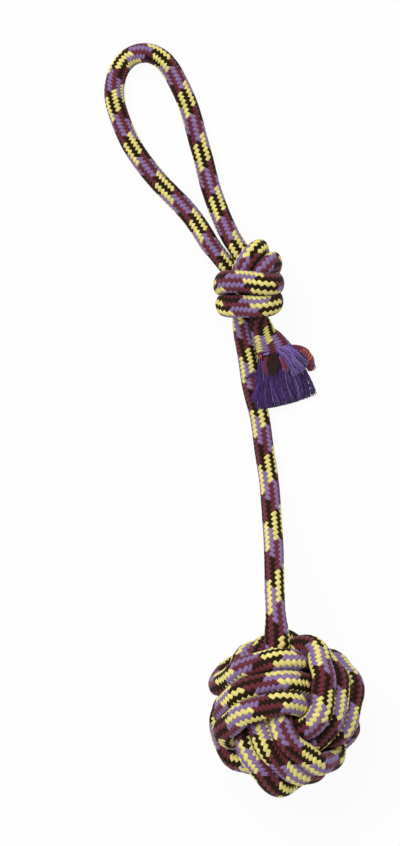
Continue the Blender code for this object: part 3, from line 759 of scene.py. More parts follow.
def pressed_radii(line, along, ways, sides, outward, half_width, half_height, standing, tail):
    """How far the strand reaches each way round, pressed against what it touches.

    The tail, from one distance on, lies over the standing rope, up to another, unpressed.
    """
    angles = np.arange(SECTION_SIDES) * 2 * math.pi / SECTION_SIDES
    others = np.cross(ways, sides)
    rays = (
        np.cos(angles)[None, :, None] * sides[:, None, :]
        + np.sin(angles)[None, :, None] * others[:, None, :]
    )
    high = np.einsum("nak,nk->na", rays, outward)
    wide = np.sqrt(np.maximum(1 - high**2, 0))
    radii = 1 / np.sqrt((high / half_height[:, None]) ** 2 + (wide / half_width[:, None]) ** 2)
    i, j = np.triu_indices(len(line), 1)
    far = along[j] - along[i] > SLACK_FREE_SHARE * ROPE_D
    far &= (along[i] > standing) | (along[j] < tail)
    i, j = i[far], j[far]
    between = line[j] - line[i]
    gap = np.linalg.norm(between, axis=1)
    near = gap < 2 * half_width.max()
    i, j, between, gap = i[near], j[near], between[near], gap[near]
    for one, sign in ((i, 1), (j, -1)):
        facing = np.einsum("nak,nk->na", rays[one], sign * between / gap[:, None])
        reach = gap[:, None] / 2 / np.maximum(facing, LEAST_FACING)
        np.minimum.at(radii, one, np.where(facing > LEAST_FACING, reach, UNPRESSED))
    down = -rays[:, :, 2]
    to_floor = line[:, 2:3] / np.maximum(down, LEAST_DOWN)
    resting = np.where(down > LEAST_DOWN, to_floor, UNPRESSED)
    radii = eased(np.maximum(np.minimum(radii, resting), LEAST_RADIUS))
    return (np.roll(radii, 1, 1) + 4 * radii + np.roll(radii, -1, 1)) / 6


def worked_rope():
    """The rope's line, frames, sections and stitch count, worked out once."""
    if WORKED:
        return WORKED
    braid = bpy.context.scene.rope_toy_braid
    press = bpy.context.scene.rope_toy_ball
    route, starts = rope_route()
    neck = stretch_of(route, 0, NECK_STUB, SETTLE_STEP)[::-1]
    centre = np.array([BALL_X, BALL_Y, BALL_REST_SHARE * BALL_D / 2])
    winding = settled_ball(centre, neck)
    into_knot, loop_starts, loop_ends, tail_starts = starts
    seat_at = tail_starts + TAIL_BEND + PIECE_GAP
    seat = stretch_of(route, 0, seat_at, SETTLE_STEP)[-1]
    opened = smooth_through(seat + ROPE_D * np.array(OPENED_ROUTE_SHARES), FINE_STEP)
    there = lengths_along(route)
    rope = route[(there > NECK_STUB + FINE_STEP / 2) & (there < seat_at - FINE_STEP / 2)]
    line = np.concatenate([winding[::-1], rope, opened])
    fine = lengths_along(line) - lengths_along(winding)[-1] + NECK_STUB
    along = np.arange(fine[0], fine[-1], FRAME_STEP)
    line = eased(at_distances(line, fine, along))
    ways = ways_of(line)
    sides = carried_frames(line, ways, int(np.searchsorted(along, BLOCK_AT)))
    spread = np.clip((along - seat_at) / (along[-1] - seat_at), 0, 1)
    ways, sides = (turned_level(run, OPENED_TURN * spread) for run in (ways, sides))

    few = slice(None, None, round(SECTION_STEP / FRAME_STEP))
    at, place, way, side = along[few], line[few], ways[few], sides[few]

    def past(mark, change):
        """From 0 to 1 as the rope passes a mark."""
        return smoothstep((at - (mark + change[0])) / change[1])

    in_ball = 1 - past(0, BALL_ENDS)
    first_strand = np.minimum(past(into_knot, KNOT_BEGINS), 1 - past(loop_starts, KNOT_LETS_GO))
    in_knot = np.maximum(first_strand, past(loop_ends, KNOT_TAKES_BACK))
    in_tail = past(tail_starts, TAIL_BEGINS)
    from_axis = (place - np.array([KNOT_AXIS_X, 0, KNOT_AXIS_Z])) * [1, 0, 1]
    outward = np.where(in_tail[:, None] > 0.5, np.array([0, 0, 1.0]), from_axis)
    outward = square_to(np.where(in_ball[:, None] > 0, place - centre, outward), way)
    steps = np.linspace(0, 1, len(OPENED_HALF_WIDTHS))
    half_width, half_height = (
        ROPE_D / 2
        + in_ball * (ball - ROPE_D / 2)
        + in_knot * (1 - in_tail) * (knot - ROPE_D / 2)
        + in_tail * (np.interp(spread[few], steps, mouth) - ROPE_D / 2)
        for ball, knot, mouth in (
            (press.ball_width, press.knot_width, OPENED_HALF_WIDTHS),
            (press.ball_height, press.knot_height, OPENED_HALF_HEIGHTS),
        )
    )
    radii = pressed_radii(
        place, at, way, side, outward, half_width, half_height, into_knot, tail_starts
    )
    crown = np.arctan2(
        np.sum(outward * np.cross(way, side), axis=1), np.sum(outward * side, axis=1)
    )
    even = 1 + in_tail * ((half_width / half_height) ** EVEN_POWER - 1)

    anchor_at, rolls, shifts = np.array(PATTERN_ANCHORS, float).T
    roll = DEG * np.interp(along, anchor_at * MM, rolls)
    shift = np.interp(along, anchor_at * MM, shifts)
    WORKED.update(
        along=along, line=line, count=(along - BLOCK_AT) / braid.pitch + shift,
        frames=np.concatenate([line, ways, sides, roll[:, None]], axis=1),
        section_at=at, radii=radii, crown=np.unwrap(crown), even=even,
        starts=starts, seat_at=seat_at, stitch=modelled_stitch(), fibre=modelled_fibre(),
    )
    return WORKED


def places_at(*distances):
    """The places on the rope's line at these distances along it."""
    rope = worked_rope()
    return at_distances(rope["line"], rope["along"], np.array(distances))


def surface_places(along, angles, sunk):
    """Places on the braid: distances along, angles round from the pattern, depths below."""
    rope = WORKED
    read = at_distances(rope["frames"], rope["along"], along)
    line, way, side, roll = read[..., :3], read[..., 3:6], read[..., 6:9], read[..., 9]
    other = np.cross(way, side)
    # On a flattened section the columns stay as wide as each other.
    crown = np.interp(along, rope["section_at"], rope["crown"])
    even = np.interp(along, rope["section_at"], rope["even"])
    turn = angles + roll - crown
    turn = crown + np.arctan2(even * np.sin(turn), np.cos(turn))
    row = np.interp(along, rope["section_at"], np.arange(len(rope["section_at"])))
    low = np.minimum(row.astype(int), len(rope["section_at"]) - 2)
    part = row - low
    column = (turn / (2 * math.pi) * SECTION_SIDES) % SECTION_SIDES
    left = column.astype(int) % SECTION_SIDES
    right = (left + 1) % SECTION_SIDES
    share = column - column.astype(int)
    radii = rope["radii"]
    near = radii[low, left] * (1 - share) + radii[low, right] * share
    far = radii[low + 1, left] * (1 - share) + radii[low + 1, right] * share
    reach = near * (1 - part) + far * part - sunk
    ray = np.cos(turn)[..., None] * side + np.sin(turn)[..., None] * other
    places = line + ray * reach[..., None]
    places[..., 2] = np.maximum(places[..., 2], FLOOR_GAP)
    return places


def select_where(obj, test):
    """Select the vertices of an object in edit mode that pass a test on their place."""
    bpy.ops.object.mode_set(mode="EDIT")
    bpy.ops.mesh.select_mode(type="VERT")
    bpy.ops.mesh.select_all(action="DESELECT")
    bpy.ops.object.mode_set(mode="OBJECT")
    for vertex in obj.data.vertices:
        vertex.select = bool(test(vertex.co))
    bpy.ops.object.mode_set(mode="EDIT")


def taken_apart(obj):
    """The places and triangles of a modelled shape, which is then removed."""
    bpy.ops.object.mode_set(mode="EDIT")
    bpy.ops.mesh.select_all(action="SELECT")
    bpy.ops.mesh.normals_make_consistent(inside=False)
    bpy.ops.mesh.quads_convert_to_tris()
    bpy.ops.object.mode_set(mode="OBJECT")
    places = np.array([v.co for v in obj.data.vertices])
    faces = np.array([p.vertices for p in obj.data.polygons])
    bpy.data.objects.remove(obj)
    return places, faces


def modelled_stitch():
    """One stitch of the braid, as a plump square grain one unit each way from its middle."""
    bpy.ops.object.select_all(action="DESELECT")
    bpy.ops.mesh.primitive_uv_sphere_add(
        segments=STITCH_SEGMENTS, ring_count=STITCH_RINGS, radius=1
    )
    stitch = bpy.context.object
    select_where(stitch, lambda v: abs(abs(v.x) - abs(v.y)) < NO_OFFSET < abs(v.x))
    bpy.ops.transform.resize(value=(CORNER_SHARE, CORNER_SHARE, 1))
    low, high = SHOULDER_HEIGHTS
    select_where(stitch, lambda v: low < abs(v.z) < high)
    bpy.ops.transform.resize(value=(SHOULDER_SHARE, SHOULDER_SHARE, SHOULDER_SHARE))
    bpy.ops.object.mode_set(mode="OBJECT")
    return taken_apart(stitch)


def modelled_fibre():
    """One loose yarn, as a thin closed rod from 0 to 1 along Z with a radius of one."""
    bpy.ops.object.select_all(action="DESELECT")
    bpy.ops.mesh.primitive_circle_add(vertices=FIBRE_SIDES, radius=1, fill_type="NGON")
    fibre = bpy.context.object
    bpy.ops.object.mode_set(mode="EDIT")
    bpy.ops.mesh.select_all(action="SELECT")
    for _ in range(FIBRE_STEPS):
        step = {"value": (0, 0, 1 / FIBRE_STEPS)}
        bpy.ops.mesh.extrude_region_move(TRANSFORM_OT_translate=step)
    bpy.ops.object.mode_set(mode="OBJECT")
    return taken_apart(fibre)


def mesh_piece(name, places, faces, looks, look_of_face, uv):
    """A mesh object from triangles, each with its look, and each corner's place on its yarn."""
    mesh = bpy.data.meshes.new(name)
    mesh.vertices.add(len(places))
    mesh.vertices.foreach_set("co", places.astype(np.float32).ravel())
    mesh.loops.add(3 * len(faces))
    mesh.loops.foreach_set("vertex_index", faces.astype(np.int32).ravel())
    mesh.polygons.add(len(faces))
    mesh.polygons.foreach_set("loop_start", np.arange(0, 3 * len(faces), 3, dtype=np.int32))
    mesh.polygons.foreach_set("material_index", look_of_face.astype(np.int32))
    mesh.polygons.foreach_set("use_smooth", np.ones(len(faces), bool))
    layer = mesh.uv_layers.new(name="yarn")
    layer.data.foreach_set("uv", uv[faces.ravel()].astype(np.float32).ravel())
    mesh.update(calc_edges=True)
    mesh.validate()
    for look in looks:
        mesh.materials.append(look)
    obj = bpy.data.objects.new(name, mesh)
    bpy.context.scene.collection.objects.link(obj)
    return obj


def laid_stitches(start, stop):
    """All the stitches whose middles lie between two distances along the rope."""
    rope = worked_rope()
    braid = bpy.context.scene.rope_toy_braid
    template, triangles = rope["stitch"]
    rng = np.random.default_rng(BRAID_SEED)
    rise = math.tan(braid.slope)
    column = 2 * math.pi * ROPE_D / 2 / COLUMNS
    repeat = 2 * STITCHES_PER_COLOUR
    # A stitch lies between the long sides of those above and below it in its own column, and
    # its ends follow the long sides of the stitches in the columns beside it.
    end_span = braid.pitch / (2 * rise)
    long_half = np.array([column / 2, rise * column / 2])
    short_half = np.array([end_span / 2, -rise * end_span / 2])
    flat = STITCH_OVERLAP * (
        template[:, :1] * long_half[None] + template[:, 1:2] * short_half[None]
    )
    fibre_uv = template[:, :2] * [np.linalg.norm(long_half), np.linalg.norm(short_half)]
    places, faces, looks, uvs = [], [], [], []
    used = 0
    low = math.floor(np.interp(start, rope["along"], rope["count"])) - 2
    high = math.ceil(np.interp(stop, rope["along"], rope["count"])) + 2
    for n in range(COLUMNS):
        pair, leans_back = divmod(n, 2)
        numbers = np.arange(low, high)
        counts = numbers + (0.0 if leans_back else 0.5)
        middles = np.interp(counts, rope["count"], rope["along"])
        inside = (middles >= start) & (middles < stop)
        inside &= (counts > rope["count"][0]) & (counts < rope["count"][-1])
        counts, middles = counts[inside], middles[inside]
        if leans_back:
            dark = (counts + COLUMN_SHIFT * pair + DARK_PHASE) % repeat < STITCHES_PER_COLOUR
            look = np.where(dark, BLACK, LAVENDER)
            across, turned_faces = -flat[:, 0], triangles[:, ::-1]
        else:
            light = (counts - COLUMN_SHIFT * pair + LIGHT_PHASE) % repeat < STITCHES_PER_COLOUR
            look = np.where(light, YELLOW, MAROON)
            across, turned_faces = flat[:, 0], triangles
        pitch_here = np.interp(counts + 0.5, rope["count"], rope["along"])
        pitch_here -= np.interp(counts - 0.5, rope["count"], rope["along"])
        stretch = pitch_here[:, None] / braid.pitch
        along = middles[:, None] + flat[None, :, 1] * stretch
        angles = (n * 2 * math.pi / COLUMNS) + across[None] / (ROPE_D / 2)
        plump = 1 + PLUMP_SPREAD * rng.standard_normal(len(middles))[:, None]
        sunk = braid.depth * (1 - template[None, :, 2] * plump)
        laid = surface_places(along, angles + np.zeros_like(along), sunk)
        count = len(middles)
        offsets = used + np.arange(count)[:, None, None] * len(template)
        places.append(laid.reshape(-1, 3))
        faces.append((turned_faces[None] + offsets).reshape(-1, 3))
        looks.append(np.repeat(look, len(triangles)))
        shifts = rng.uniform(0, 1, (count, 1, 2)) * YARN_SHIFT
        uvs.append((fibre_uv[None] + shifts).reshape(-1, 2))
        used += count * len(template)
    return places, faces, looks, uvs, used


def painted_shade_tube(start, stop, offset):
    """The closed tube that shows deep between the stitches, near black as painted shade in the
    gaps.
    """
    braid = bpy.context.scene.rope_toy_braid
    count = max(2, round((stop - start) / SECTION_STEP) + 1)
    at = np.linspace(start, stop, count)
    turns = np.arange(SECTION_SIDES) * 2 * math.pi / SECTION_SIDES
    along = np.repeat(at[:, None], SECTION_SIDES, axis=1)
    angles = np.repeat(turns[None], count, axis=0)
    sunk = np.full_like(along, PAINTED_SHADE_DEPTH_SHARE * braid.depth)
    rings = surface_places(along, angles, sunk)
    places = np.concatenate([rings.reshape(-1, 3), places_at(start, stop)])
    around = np.arange(SECTION_SIDES)
    after = (around + 1) % SECTION_SIDES
    ring = np.arange(count - 1)[:, None] * SECTION_SIDES
    a, b = ring + around, ring + after
    c, d = b + SECTION_SIDES, a + SECTION_SIDES
    first, last = count * SECTION_SIDES, count * SECTION_SIDES + 1
    top = (count - 1) * SECTION_SIDES
    faces = np.concatenate([
        np.stack([a, b, c], -1).reshape(-1, 3),
        np.stack([a, c, d], -1).reshape(-1, 3),
        np.stack([after, around, np.full_like(around, first)], -1),
        np.stack([top + around, top + after, np.full_like(around, last)], -1),
    ])
    uv = np.concatenate([
        np.stack([along.ravel(), angles.ravel() * ROPE_D / 2], -1), np.zeros((2, 2))
    ])
    return places, faces + offset, np.full(len(faces), PAINTED_SHADE), uv


def braided_piece(name, start, stop, replaced):
    """One stretch of the rope as its own piece, declared as a length of rope."""
    places, faces, looks, uvs, used = laid_stitches(start, stop)
    # The near-black tube under the stitches, painted shade for the gaps.
    painted_shade = painted_shade_tube(start, stop, used)
    for kept, extra in zip((places, faces, looks, uvs), painted_shade):
        kept.append(extra)
    obj = mesh_piece(
        name, np.concatenate(places), np.concatenate(faces), braid_looks(),
        np.concatenate(looks), np.concatenate(uvs),
    )
    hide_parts(*replaced)
    marks = np.linspace(start, stop, round((stop - start) / PATH_STEP) + 1)
    obj["rope_length"] = stop - start
    return obj, places_at(*marks)


def wire(tree, node, values=None, feeds=None):
    """Set values on a node's inputs, and link other nodes' outputs to them."""
    for socket, value in (values or {}).items():
        node.inputs[socket].default_value = value
    for socket, output in (feeds or {}).items():
        tree.links.new(output, node.inputs[socket])
    return node


def added(tree, kind, values=None, feeds=None, **settings):
    """A new node with its settings, values and links."""
    node = tree.nodes.new(kind)
    for name, value in settings.items():
        setattr(node, name, value)
    return wire(tree, node, values, feeds)


def new_look(name):
    """A new material, with its node tree and its shader."""
    look = bpy.data.materials.new(name)
    look.use_nodes = True
    return look, look.node_tree, look.node_tree.nodes["Principled BSDF"]


def grain(tree, scale, detail):
    """Fine unevenness that stays in place on the piece."""
    spot = added(tree, "ShaderNodeTexCoord").outputs["Object"]
    values = {"Scale": scale, "Detail": detail}
    return added(tree, "ShaderNodeTexNoise", values, {"Vector": spot}).outputs["Fac"]


def toned(tree, share, dark, light):
    """A colour between two tones."""
    tone = added(tree, "ShaderNodeValToRGB", feeds={"Fac": share})
    for end, colour in zip(tone.color_ramp.elements, (dark, light)):
        end.color = (*colour, 1)
    return tone.outputs["Color"]


def ranged(tree, noise, low, high):
    """Noise spread over a range of values."""
    least, most = NOISE_REACH
    values = {"From Min": least, "From Max": most, "To Min": low, "To Max": high}
    return added(tree, "ShaderNodeMapRange", values, {"Value": noise}).outputs["Result"]


def raised(tree, height, strength, distance):
    """The normal of a surface with this relief."""
    values = {"Strength": strength, "Distance": distance}
    return added(tree, "ShaderNodeBump", values, {"Height": height}).outputs["Normal"]


def yarn_look(name, colour, fuzz=0.25, streak=0.22, rough=0.8, gloss=0.25):
    """Yarn of fine filaments that run along each stitch, a little uneven in colour."""
    if name in LOOKS:
        return LOOKS[name]
    look, tree, shader = new_look(name)
    LOOKS[name] = look
    on_yarn = added(tree, "ShaderNodeUVMap", uv_map="yarn").outputs["UV"]
    drawn_out = added(tree, "ShaderNodeMapping", {"Scale": FILAMENT_SCALE}, {"Vector": on_yarn})
    filaments = added(
        tree, "ShaderNodeTexNoise", {"Scale": 1, "Detail": 2},
        {"Vector": drawn_out.outputs["Vector"]}, noise_dimensions="2D",
    ).outputs["Fac"]
    shades = added(tree, "ShaderNodeMath", feeds={
        0: ranged(tree, filaments, 1 - streak, 1 + streak),
        1: ranged(tree, grain(tree, PATCH_SCALE, 3), *PATCH_SHADES),
    }, operation="MULTIPLY")
    tint = added(
        tree, "ShaderNodeMix", {"Factor": 1, "A": (*colour, 1)}, {"B": shades.outputs["Value"]},
        data_type="RGBA", blend_type="MULTIPLY",
    )
    wire(tree, shader, {
        "Roughness": rough, "Sheen Weight": fuzz, "Sheen Roughness": 0.5,
        "Specular IOR Level": gloss,
    }, {
        "Base Color": tint.outputs["Result"],
        "Normal": raised(tree, filaments, 0.5, YARN_RELIEF),
    })
    return look


def braid_looks():
    """The braid's four yarns and the near-black painted shade between them, in the order of their
    numbers.
    """
    braid = bpy.context.scene.rope_toy_braid
    return [
        yarn_look("yellow_braid", braid.yellow, fuzz=0.1, streak=0.1),
        yarn_look("black_braid", braid.black, fuzz=0.02, streak=0.5, gloss=0.12),
        yarn_look("maroon_braid", braid.maroon, fuzz=0.12),
        yarn_look("lavender_braid", braid.lavender, fuzz=0.12),
        # Near black: painted shade for the gaps between the stitches.
        yarn_look("braid_painted_shade", braid.painted_shade, fuzz=0.1, rough=0.9),
    ]


def rubber_look():
    """Moulded rubber with a fine uneven skin."""
    look, tree, shader = new_look("core_rubber")
    skin = grain(tree, RUBBER_GRAIN, 4)
    tones = toned(tree, skin, *RUBBER_TONES)
    wire(tree, shader, {"Roughness": 0.6}, {
        "Base Color": tones, "Normal": raised(tree, skin, 0.4, RUBBER_RELIEF),
    })
    return look


def fibre_piece(name, runs, widths, looks, look_of_run):
    """Loose yarns, each the modelled one bent along its own run and thinned by its widths."""
    template, triangles = worked_rope()["fibre"]
    count, steps = runs.shape[:2]
    ways = ways_of(runs)
    sides = np.cross(ways, NEARLY_UP)
    sides /= np.linalg.norm(sides, axis=2, keepdims=True)
    others = np.cross(ways, sides)
    level = np.clip(np.round(template[:, 2] * (steps - 1)).astype(int), 0, steps - 1)
    places = (
        runs[:, level]
        + sides[:, level] * (template[None, :, 0] * widths[:, level])[..., None] / 2
        + others[:, level] * (template[None, :, 1] * widths[:, level])[..., None] / 2
    )
    offsets = np.arange(count)[:, None, None] * len(template)
    faces = (triangles[None] + offsets).reshape(-1, 3)
    length = np.linalg.norm(np.diff(runs, axis=1), axis=2).sum(axis=1)[:, None]
    around = np.arctan2(template[:, 1], template[:, 0])[None] * widths[:, level] / 2
    start = np.arange(count)[:, None] * FIBRE_SHIFT
    uv = np.stack([template[None, :, 2] * length + start, around + start], axis=-1)
    return mesh_piece(
        name, places.reshape(-1, 3), faces, looks, np.repeat(look_of_run, len(triangles)),
        uv.reshape(-1, 2),
    )


def fan_runs(edges, spots, stops, thick, wave, rng):
    """Yarns that spread between a fan's two edges, one from each spot of its section."""
    marks = np.linspace(0, 1, FAN_MARKS)
    part = np.clip(stops, 0, 1)[:, None] * np.linspace(0, 1, FIBRE_STEPS + 1)
    share = (spots[:, :1] + 1) / 2
    reads = [at_distances(evenly_through(edge, FAN_MARKS), marks, part) for edge in edges]
    low, high = reads[0], reads[-1]
    run = low + (high - low) * share[..., None]
    if len(reads) == 3:
        run += 4 * (share * (1 - share))[..., None] * (reads[1] - (low + high) / 2)
    else:
        run[..., 2] = high[..., 2] + (low - high)[..., 2] * (1 - share) ** DROOP_POWER
    across = (high - low)[..., :2]
    across /= np.linalg.norm(across, axis=-1, keepdims=True)
    bend = rng.normal(0, wave, (len(spots), 1)) * part**BEND_POWER
    turns = rng.uniform(*WAVE_TURNS, (len(spots), 1))
    bend += WAVE_SHARE * wave * np.sin(part * turns + WAVE_SCATTER * spots[:, 1:])
    run[..., :2] += across * bend[..., None]
    run[..., 2] += (thick[0] + (thick[1] - thick[0]) * part) * spots[:, 1:]
    run[..., 2] += rng.normal(0, LIFT_SHARE * wave, (len(spots), 1)) * part
    return run


def kept_off_rope(run, clear):
    """The same places, moved out of the standing rope where they are in it."""
    rope = WORKED
    standing = (rope["along"] > 0) & (rope["along"] < rope["starts"][0])
    axis = rope["line"][standing][::3]
    flat = run.reshape(-1, 3).copy()
    number = np.array([np.argmin(((place - axis) ** 2).sum(axis=1)) for place in flat])
    out = flat - axis[number]
    inside = np.linalg.norm(out, axis=1) < clear
    out = out[inside]
    out[:, 2] = np.maximum(out[:, 2], clear / 2)
    out *= clear / np.linalg.norm(out, axis=1, keepdims=True)
    flat[inside] = axis[number[inside]] + out
    flat[:, 2] = np.maximum(flat[:, 2], ROPE_CLEARANCE)
    return flat.reshape(run.shape)


def disc_spots(count, rng):
    """Spots spread evenly over a disc of radius one, but for its rim."""
    n = np.arange(count) + 0.5
    radius = FAN_EDGE_SHARE * np.sqrt(n / count)
    turn = n * math.pi * (3 - math.sqrt(5)) + rng.uniform(0, SPOT_TURN, count)
    return np.stack([radius * np.cos(turn), radius * np.sin(turn)], -1)


class RopeToyWoundBall(bpy.types.Operator):
    """Winds the braided rope round its core as a ball of three sets of turns"""

    bl_idname = "rope_toy.wound_ball"
    bl_label = "Wound ball"

    def execute(self, context):
        rope = worked_rope()
        start = rope["along"][0] + FRAME_STEP
        ends = np.linspace(start, BALL_PIECES_END, len(BALL_PIECES) + 1)
        for n, name in enumerate(BALL_PIECES):
            nodes = ("ball_turns",) if name == BALL_PIECES[-1] else ()
            obj, path = braided_piece(name, ends[n], ends[n + 1], nodes)
            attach(obj, "ball")
        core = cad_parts["ball_core"]
        core.data.materials.clear()
        core.data.materials.append(rubber_look())
        return {"FINISHED"}


class RopeToyStandingRope(bpy.types.Operator):
    """Lays the standing rope from the ball's neck to the knot, in three stretches"""

    bl_idname = "rope_toy.standing_rope"
    bl_label = "Standing rope"

    def execute(self, context):
        nodes = "neck_bend", "lower_rope"
        neck, path = braided_piece("neck_rope", NECK_PIECE_FROM, FOLD_PIECE_FROM, nodes)
        bend_at = NECK_STUB + PIECE_GAP
        bend_from, bend_to = places_at(bend_at, bend_at + NECK_BEND)
        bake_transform(neck)

        nodes = "fold_bend", "middle_rope"
        fold, path = braided_piece("fold_rope", FOLD_PIECE_FROM, SWING_PIECE_FROM, nodes)
        bend_from, bend_to = places_at(FOLD_AT - FOLD_BEND / 2, FOLD_AT + FOLD_BEND / 2)
        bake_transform(fold)

        nodes = "swing_bend", "upper_rope", "knot_first_strand"
        stop = worked_rope()["starts"][1] - LEG_OVERLAP
        swing, path = braided_piece("first_knot_strand", SWING_PIECE_FROM, stop, nodes)
        bend_from, bend_to = places_at(SWING_AT - SWING_BEND / 2, SWING_AT + SWING_BEND / 2)
        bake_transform(swing)
        return {"FINISHED"}


class RopeToyHandLoop(bpy.types.Operator):
    """Lays the hand loop, between where its two legs leave the knot"""

    bl_idname = "rope_toy.hand_loop"
    bl_label = "Hand loop"

    def execute(self, context):
        leaves, returns = worked_rope()["starts"][1:3]
        start, stop = leaves - LEG_OVERLAP, returns + LEG_OVERLAP
        nodes = "right_leg_bend", "handle_loop", "left_leg_bend"
        loop, path = braided_piece("hand_loop", start, stop, nodes)
        near = places_at(start, stop).mean(axis=0)
        far = places_at(leaves + LEG_OVERLAP, returns - LEG_OVERLAP).mean(axis=0)
        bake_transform(loop)
        return {"FINISHED"}


class RopeToySecondStrand(bpy.types.Operator):
    """Lays the knot's second strand and the tail that hangs from it"""

    bl_idname = "rope_toy.second_strand"
    bl_label = "Second strand and tail"

    def execute(self, context):
        rope = worked_rope()
        returns, tail_starts = rope["starts"][2:]
        nodes = "knot_second_strand", "tail_bend"
        strand, path = braided_piece(
            "second_knot_strand", returns + LEG_OVERLAP, rope["seat_at"], nodes
        )
        ends = places_at(tail_starts + PIECE_GAP, tail_starts + TAIL_BEND)
        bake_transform(strand)
        opened, _ = braided_piece(
            "opened_braid", rope["seat_at"], rope["along"][-1], ("tail_sheath",)
        )
        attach(opened, "tail")
        return {"FINISHED"}


class RopeToyFrayedTail(bpy.types.Operator):
    """Frays the tail into violet core yarns and loose lavender, maroon and orange yarns"""

    bl_idname = "rope_toy.frayed_tail"
    bl_label = "Frayed tail"

    def execute(self, context):
        worked_rope()
        tail = context.scene.rope_toy_tail
        rng = np.random.default_rng(FIBRE_SEED)
        looks = [
            yarn_look("violet_loose_yarn", tail.violet, fuzz=0.3, streak=0.4),
            # A darker copy of the violet yarn, scattered at random among the loose yarns as painted
            # shade that gives them depth.
            yarn_look("violet_painted_shade_yarn", [c / SHADE_DARKENING for c in tail.violet], fuzz=0.2),
            yarn_look("lavender_loose_yarn", tail.lavender, fuzz=0.3),
            yarn_look("maroon_loose_yarn", tail.maroon, fuzz=0.3),
            yarn_look("orange_loose_yarn", tail.orange, fuzz=0.2),
            # Near black, as painted shade in the tail's mouth.
            yarn_look("painted_shade_yarn_ends", tail.hollow_shade, fuzz=0.1, rough=0.9),
        ]
        violet, painted_shade_violet, lavender, maroon, orange, hollow_shade = range(len(looks))

        def fan(
            edges, count, colours, width=1.0, thick=(0.5, 0.5), wave=0.5, ragged=0.04, round_end=0
        ):
            """One fan of yarns: their runs, their widths and their looks."""
            spots = disc_spots(count, rng)
            stops = 1 - np.abs(rng.normal(0, ragged, count))
            stops -= round_end * (1 - np.sqrt(1 - FAN_ROUND_SHARE * spots[:, 0] ** 2))
            run = fan_runs(edges, spots, stops, np.array(thick) * MM, wave * MM, rng)
            run = kept_off_rope(run, ROPE_D / 2 + ROPE_CLEARANCE)
            widths = width * tail.fibre * rng.uniform(*FIBRE_WIDTHS, (count, 1))
            return run, widths * np.ones((1, FIBRE_STEPS + 1)), rng.choice(colours, count)

        def yarns(name, replaced, fans):
            """All the fans of one colour of yarn as a piece of the tail."""
            run, widths, look = (np.concatenate(parts) for parts in zip(*fans))
            piece = fibre_piece(name, run, widths, looks, look)
            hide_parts(*replaced)
            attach(piece, "tail")

        # Most of the fringe is violet. The darker violet copy among it is painted shade, and the
        # lavender yarns scattered through it are painted highlights.
        violet_with_painted_light = [violet] * 5 + [painted_shade_violet] * 4 + [lavender] * 2
        yarns("fringe_yarns", ["core_fringe"], [
            fan(FRINGE_FAN, tail.fringe_count, violet_with_painted_light, 1.0, (2.4, 2.4), 2.0, 0.03),
            fan(OVER_ROPE_FAN, 8, [violet, painted_shade_violet], thick=(0.3, 0.3), ragged=0.2),
            fan(LEFT_STRAY_FAN, 30, [violet, painted_shade_violet, violet], wave=1.0, ragged=0.15),
            fan(RIGHT_STRAY_FAN, 9, [violet, painted_shade_violet], ragged=0.15),
            # Near-black yarns in the tail's mouth, as painted shade of its hollow.
            fan(HOLLOW_SHADE_FAN, 110, [hollow_shade], 1.6, (0.8, 0.6), 0.3, 0.05, 0.6),
        ])
        yarns("lavender_loose_yarns", ["lavender_yarns"], [
            fan(LAVENDER_FAN, 80, [lavender] * 3 + [violet], 1.7, (1.3, 1.2), 1.5, 0.18),
            fan(CURL_FAN, 5, [lavender], 1.5, (0.3, 0.3), 0.3, 0.1),
        ])
        yarns("maroon_loose_yarns", ["maroon_yarns"], [
            fan(DARK_EDGE_FAN, 90, [violet, painted_shade_violet, violet], 1.3, (1.2, 1.0), 0.9, 0.15),
            fan(ARC_FAN, 30, [maroon], 1.6, (0.9, 0.8), 0.2, 0.04),
            fan(HOLLOW_RIM_FAN, 30, [maroon, maroon, violet], 1.4, (0.5, 0.5), 0.5, 0.1),
            fan(RED_FAN, 36, [maroon, maroon, maroon, lavender], 1.4, (0.6, 0.5), 0.6, 0.15),
        ])
        yarns("maroon_tuft_yarns", ["maroon_tuft"], [
            fan(TUFT_FAN, 70, [maroon], 1.4, (1.4, 1.2), 0.4, 0.07),
            fan(TUFT_THREAD_FAN, 5, [violet, lavender], thick=(0.4, 0.4), ragged=0.08),
        ])

        twist = evenly_through(TWIST_ROUTE, 2 * FIBRE_STEPS + 1)
        ways = ways_of(twist)
        side = square_to(np.tile([0.0, 0.0, 1.0], (len(twist), 1)), ways)
        other = np.cross(ways, side)
        turns = np.linspace(0, TWIST_TURN, len(twist))
        turns = turns + np.arange(TWIST_STRANDS)[:, None] * 2 * math.pi / TWIST_STRANDS
        turns = turns[..., None]
        wound = twist + TWIST_REACH * (np.cos(turns) * side + np.sin(turns) * other)
        halves = np.concatenate([wound[:, : FIBRE_STEPS + 1], wound[:, FIBRE_STEPS:]])
        widths = np.full(halves.shape[:2], TWIST_STRAND_D)
        strands = halves, widths, [orange, maroon] * TWIST_STRANDS
        cut_ends = fan(CUT_END_FAN, 12, [orange, maroon], 1.3, (0.4, 0.4), 0.3, 0.2)
        yarns("orange_twist_yarns", ["orange_twist"], [strands, cut_ends])
        return {"FINISHED"}


def seen_directly(tree):
    """One for a ray from the camera, a mirror or glass, and nothing for the rest."""
    path = added(tree, "ShaderNodeLightPath").outputs
    seen = path["Is Camera Ray"]
    for name in ("Is Glossy Ray", "Is Transmission Ray"):
        more = added(tree, "ShaderNodeMath", feeds={0: seen, 1: path[name]}, operation="MAXIMUM")
        seen = more.outputs["Value"]
    return seen


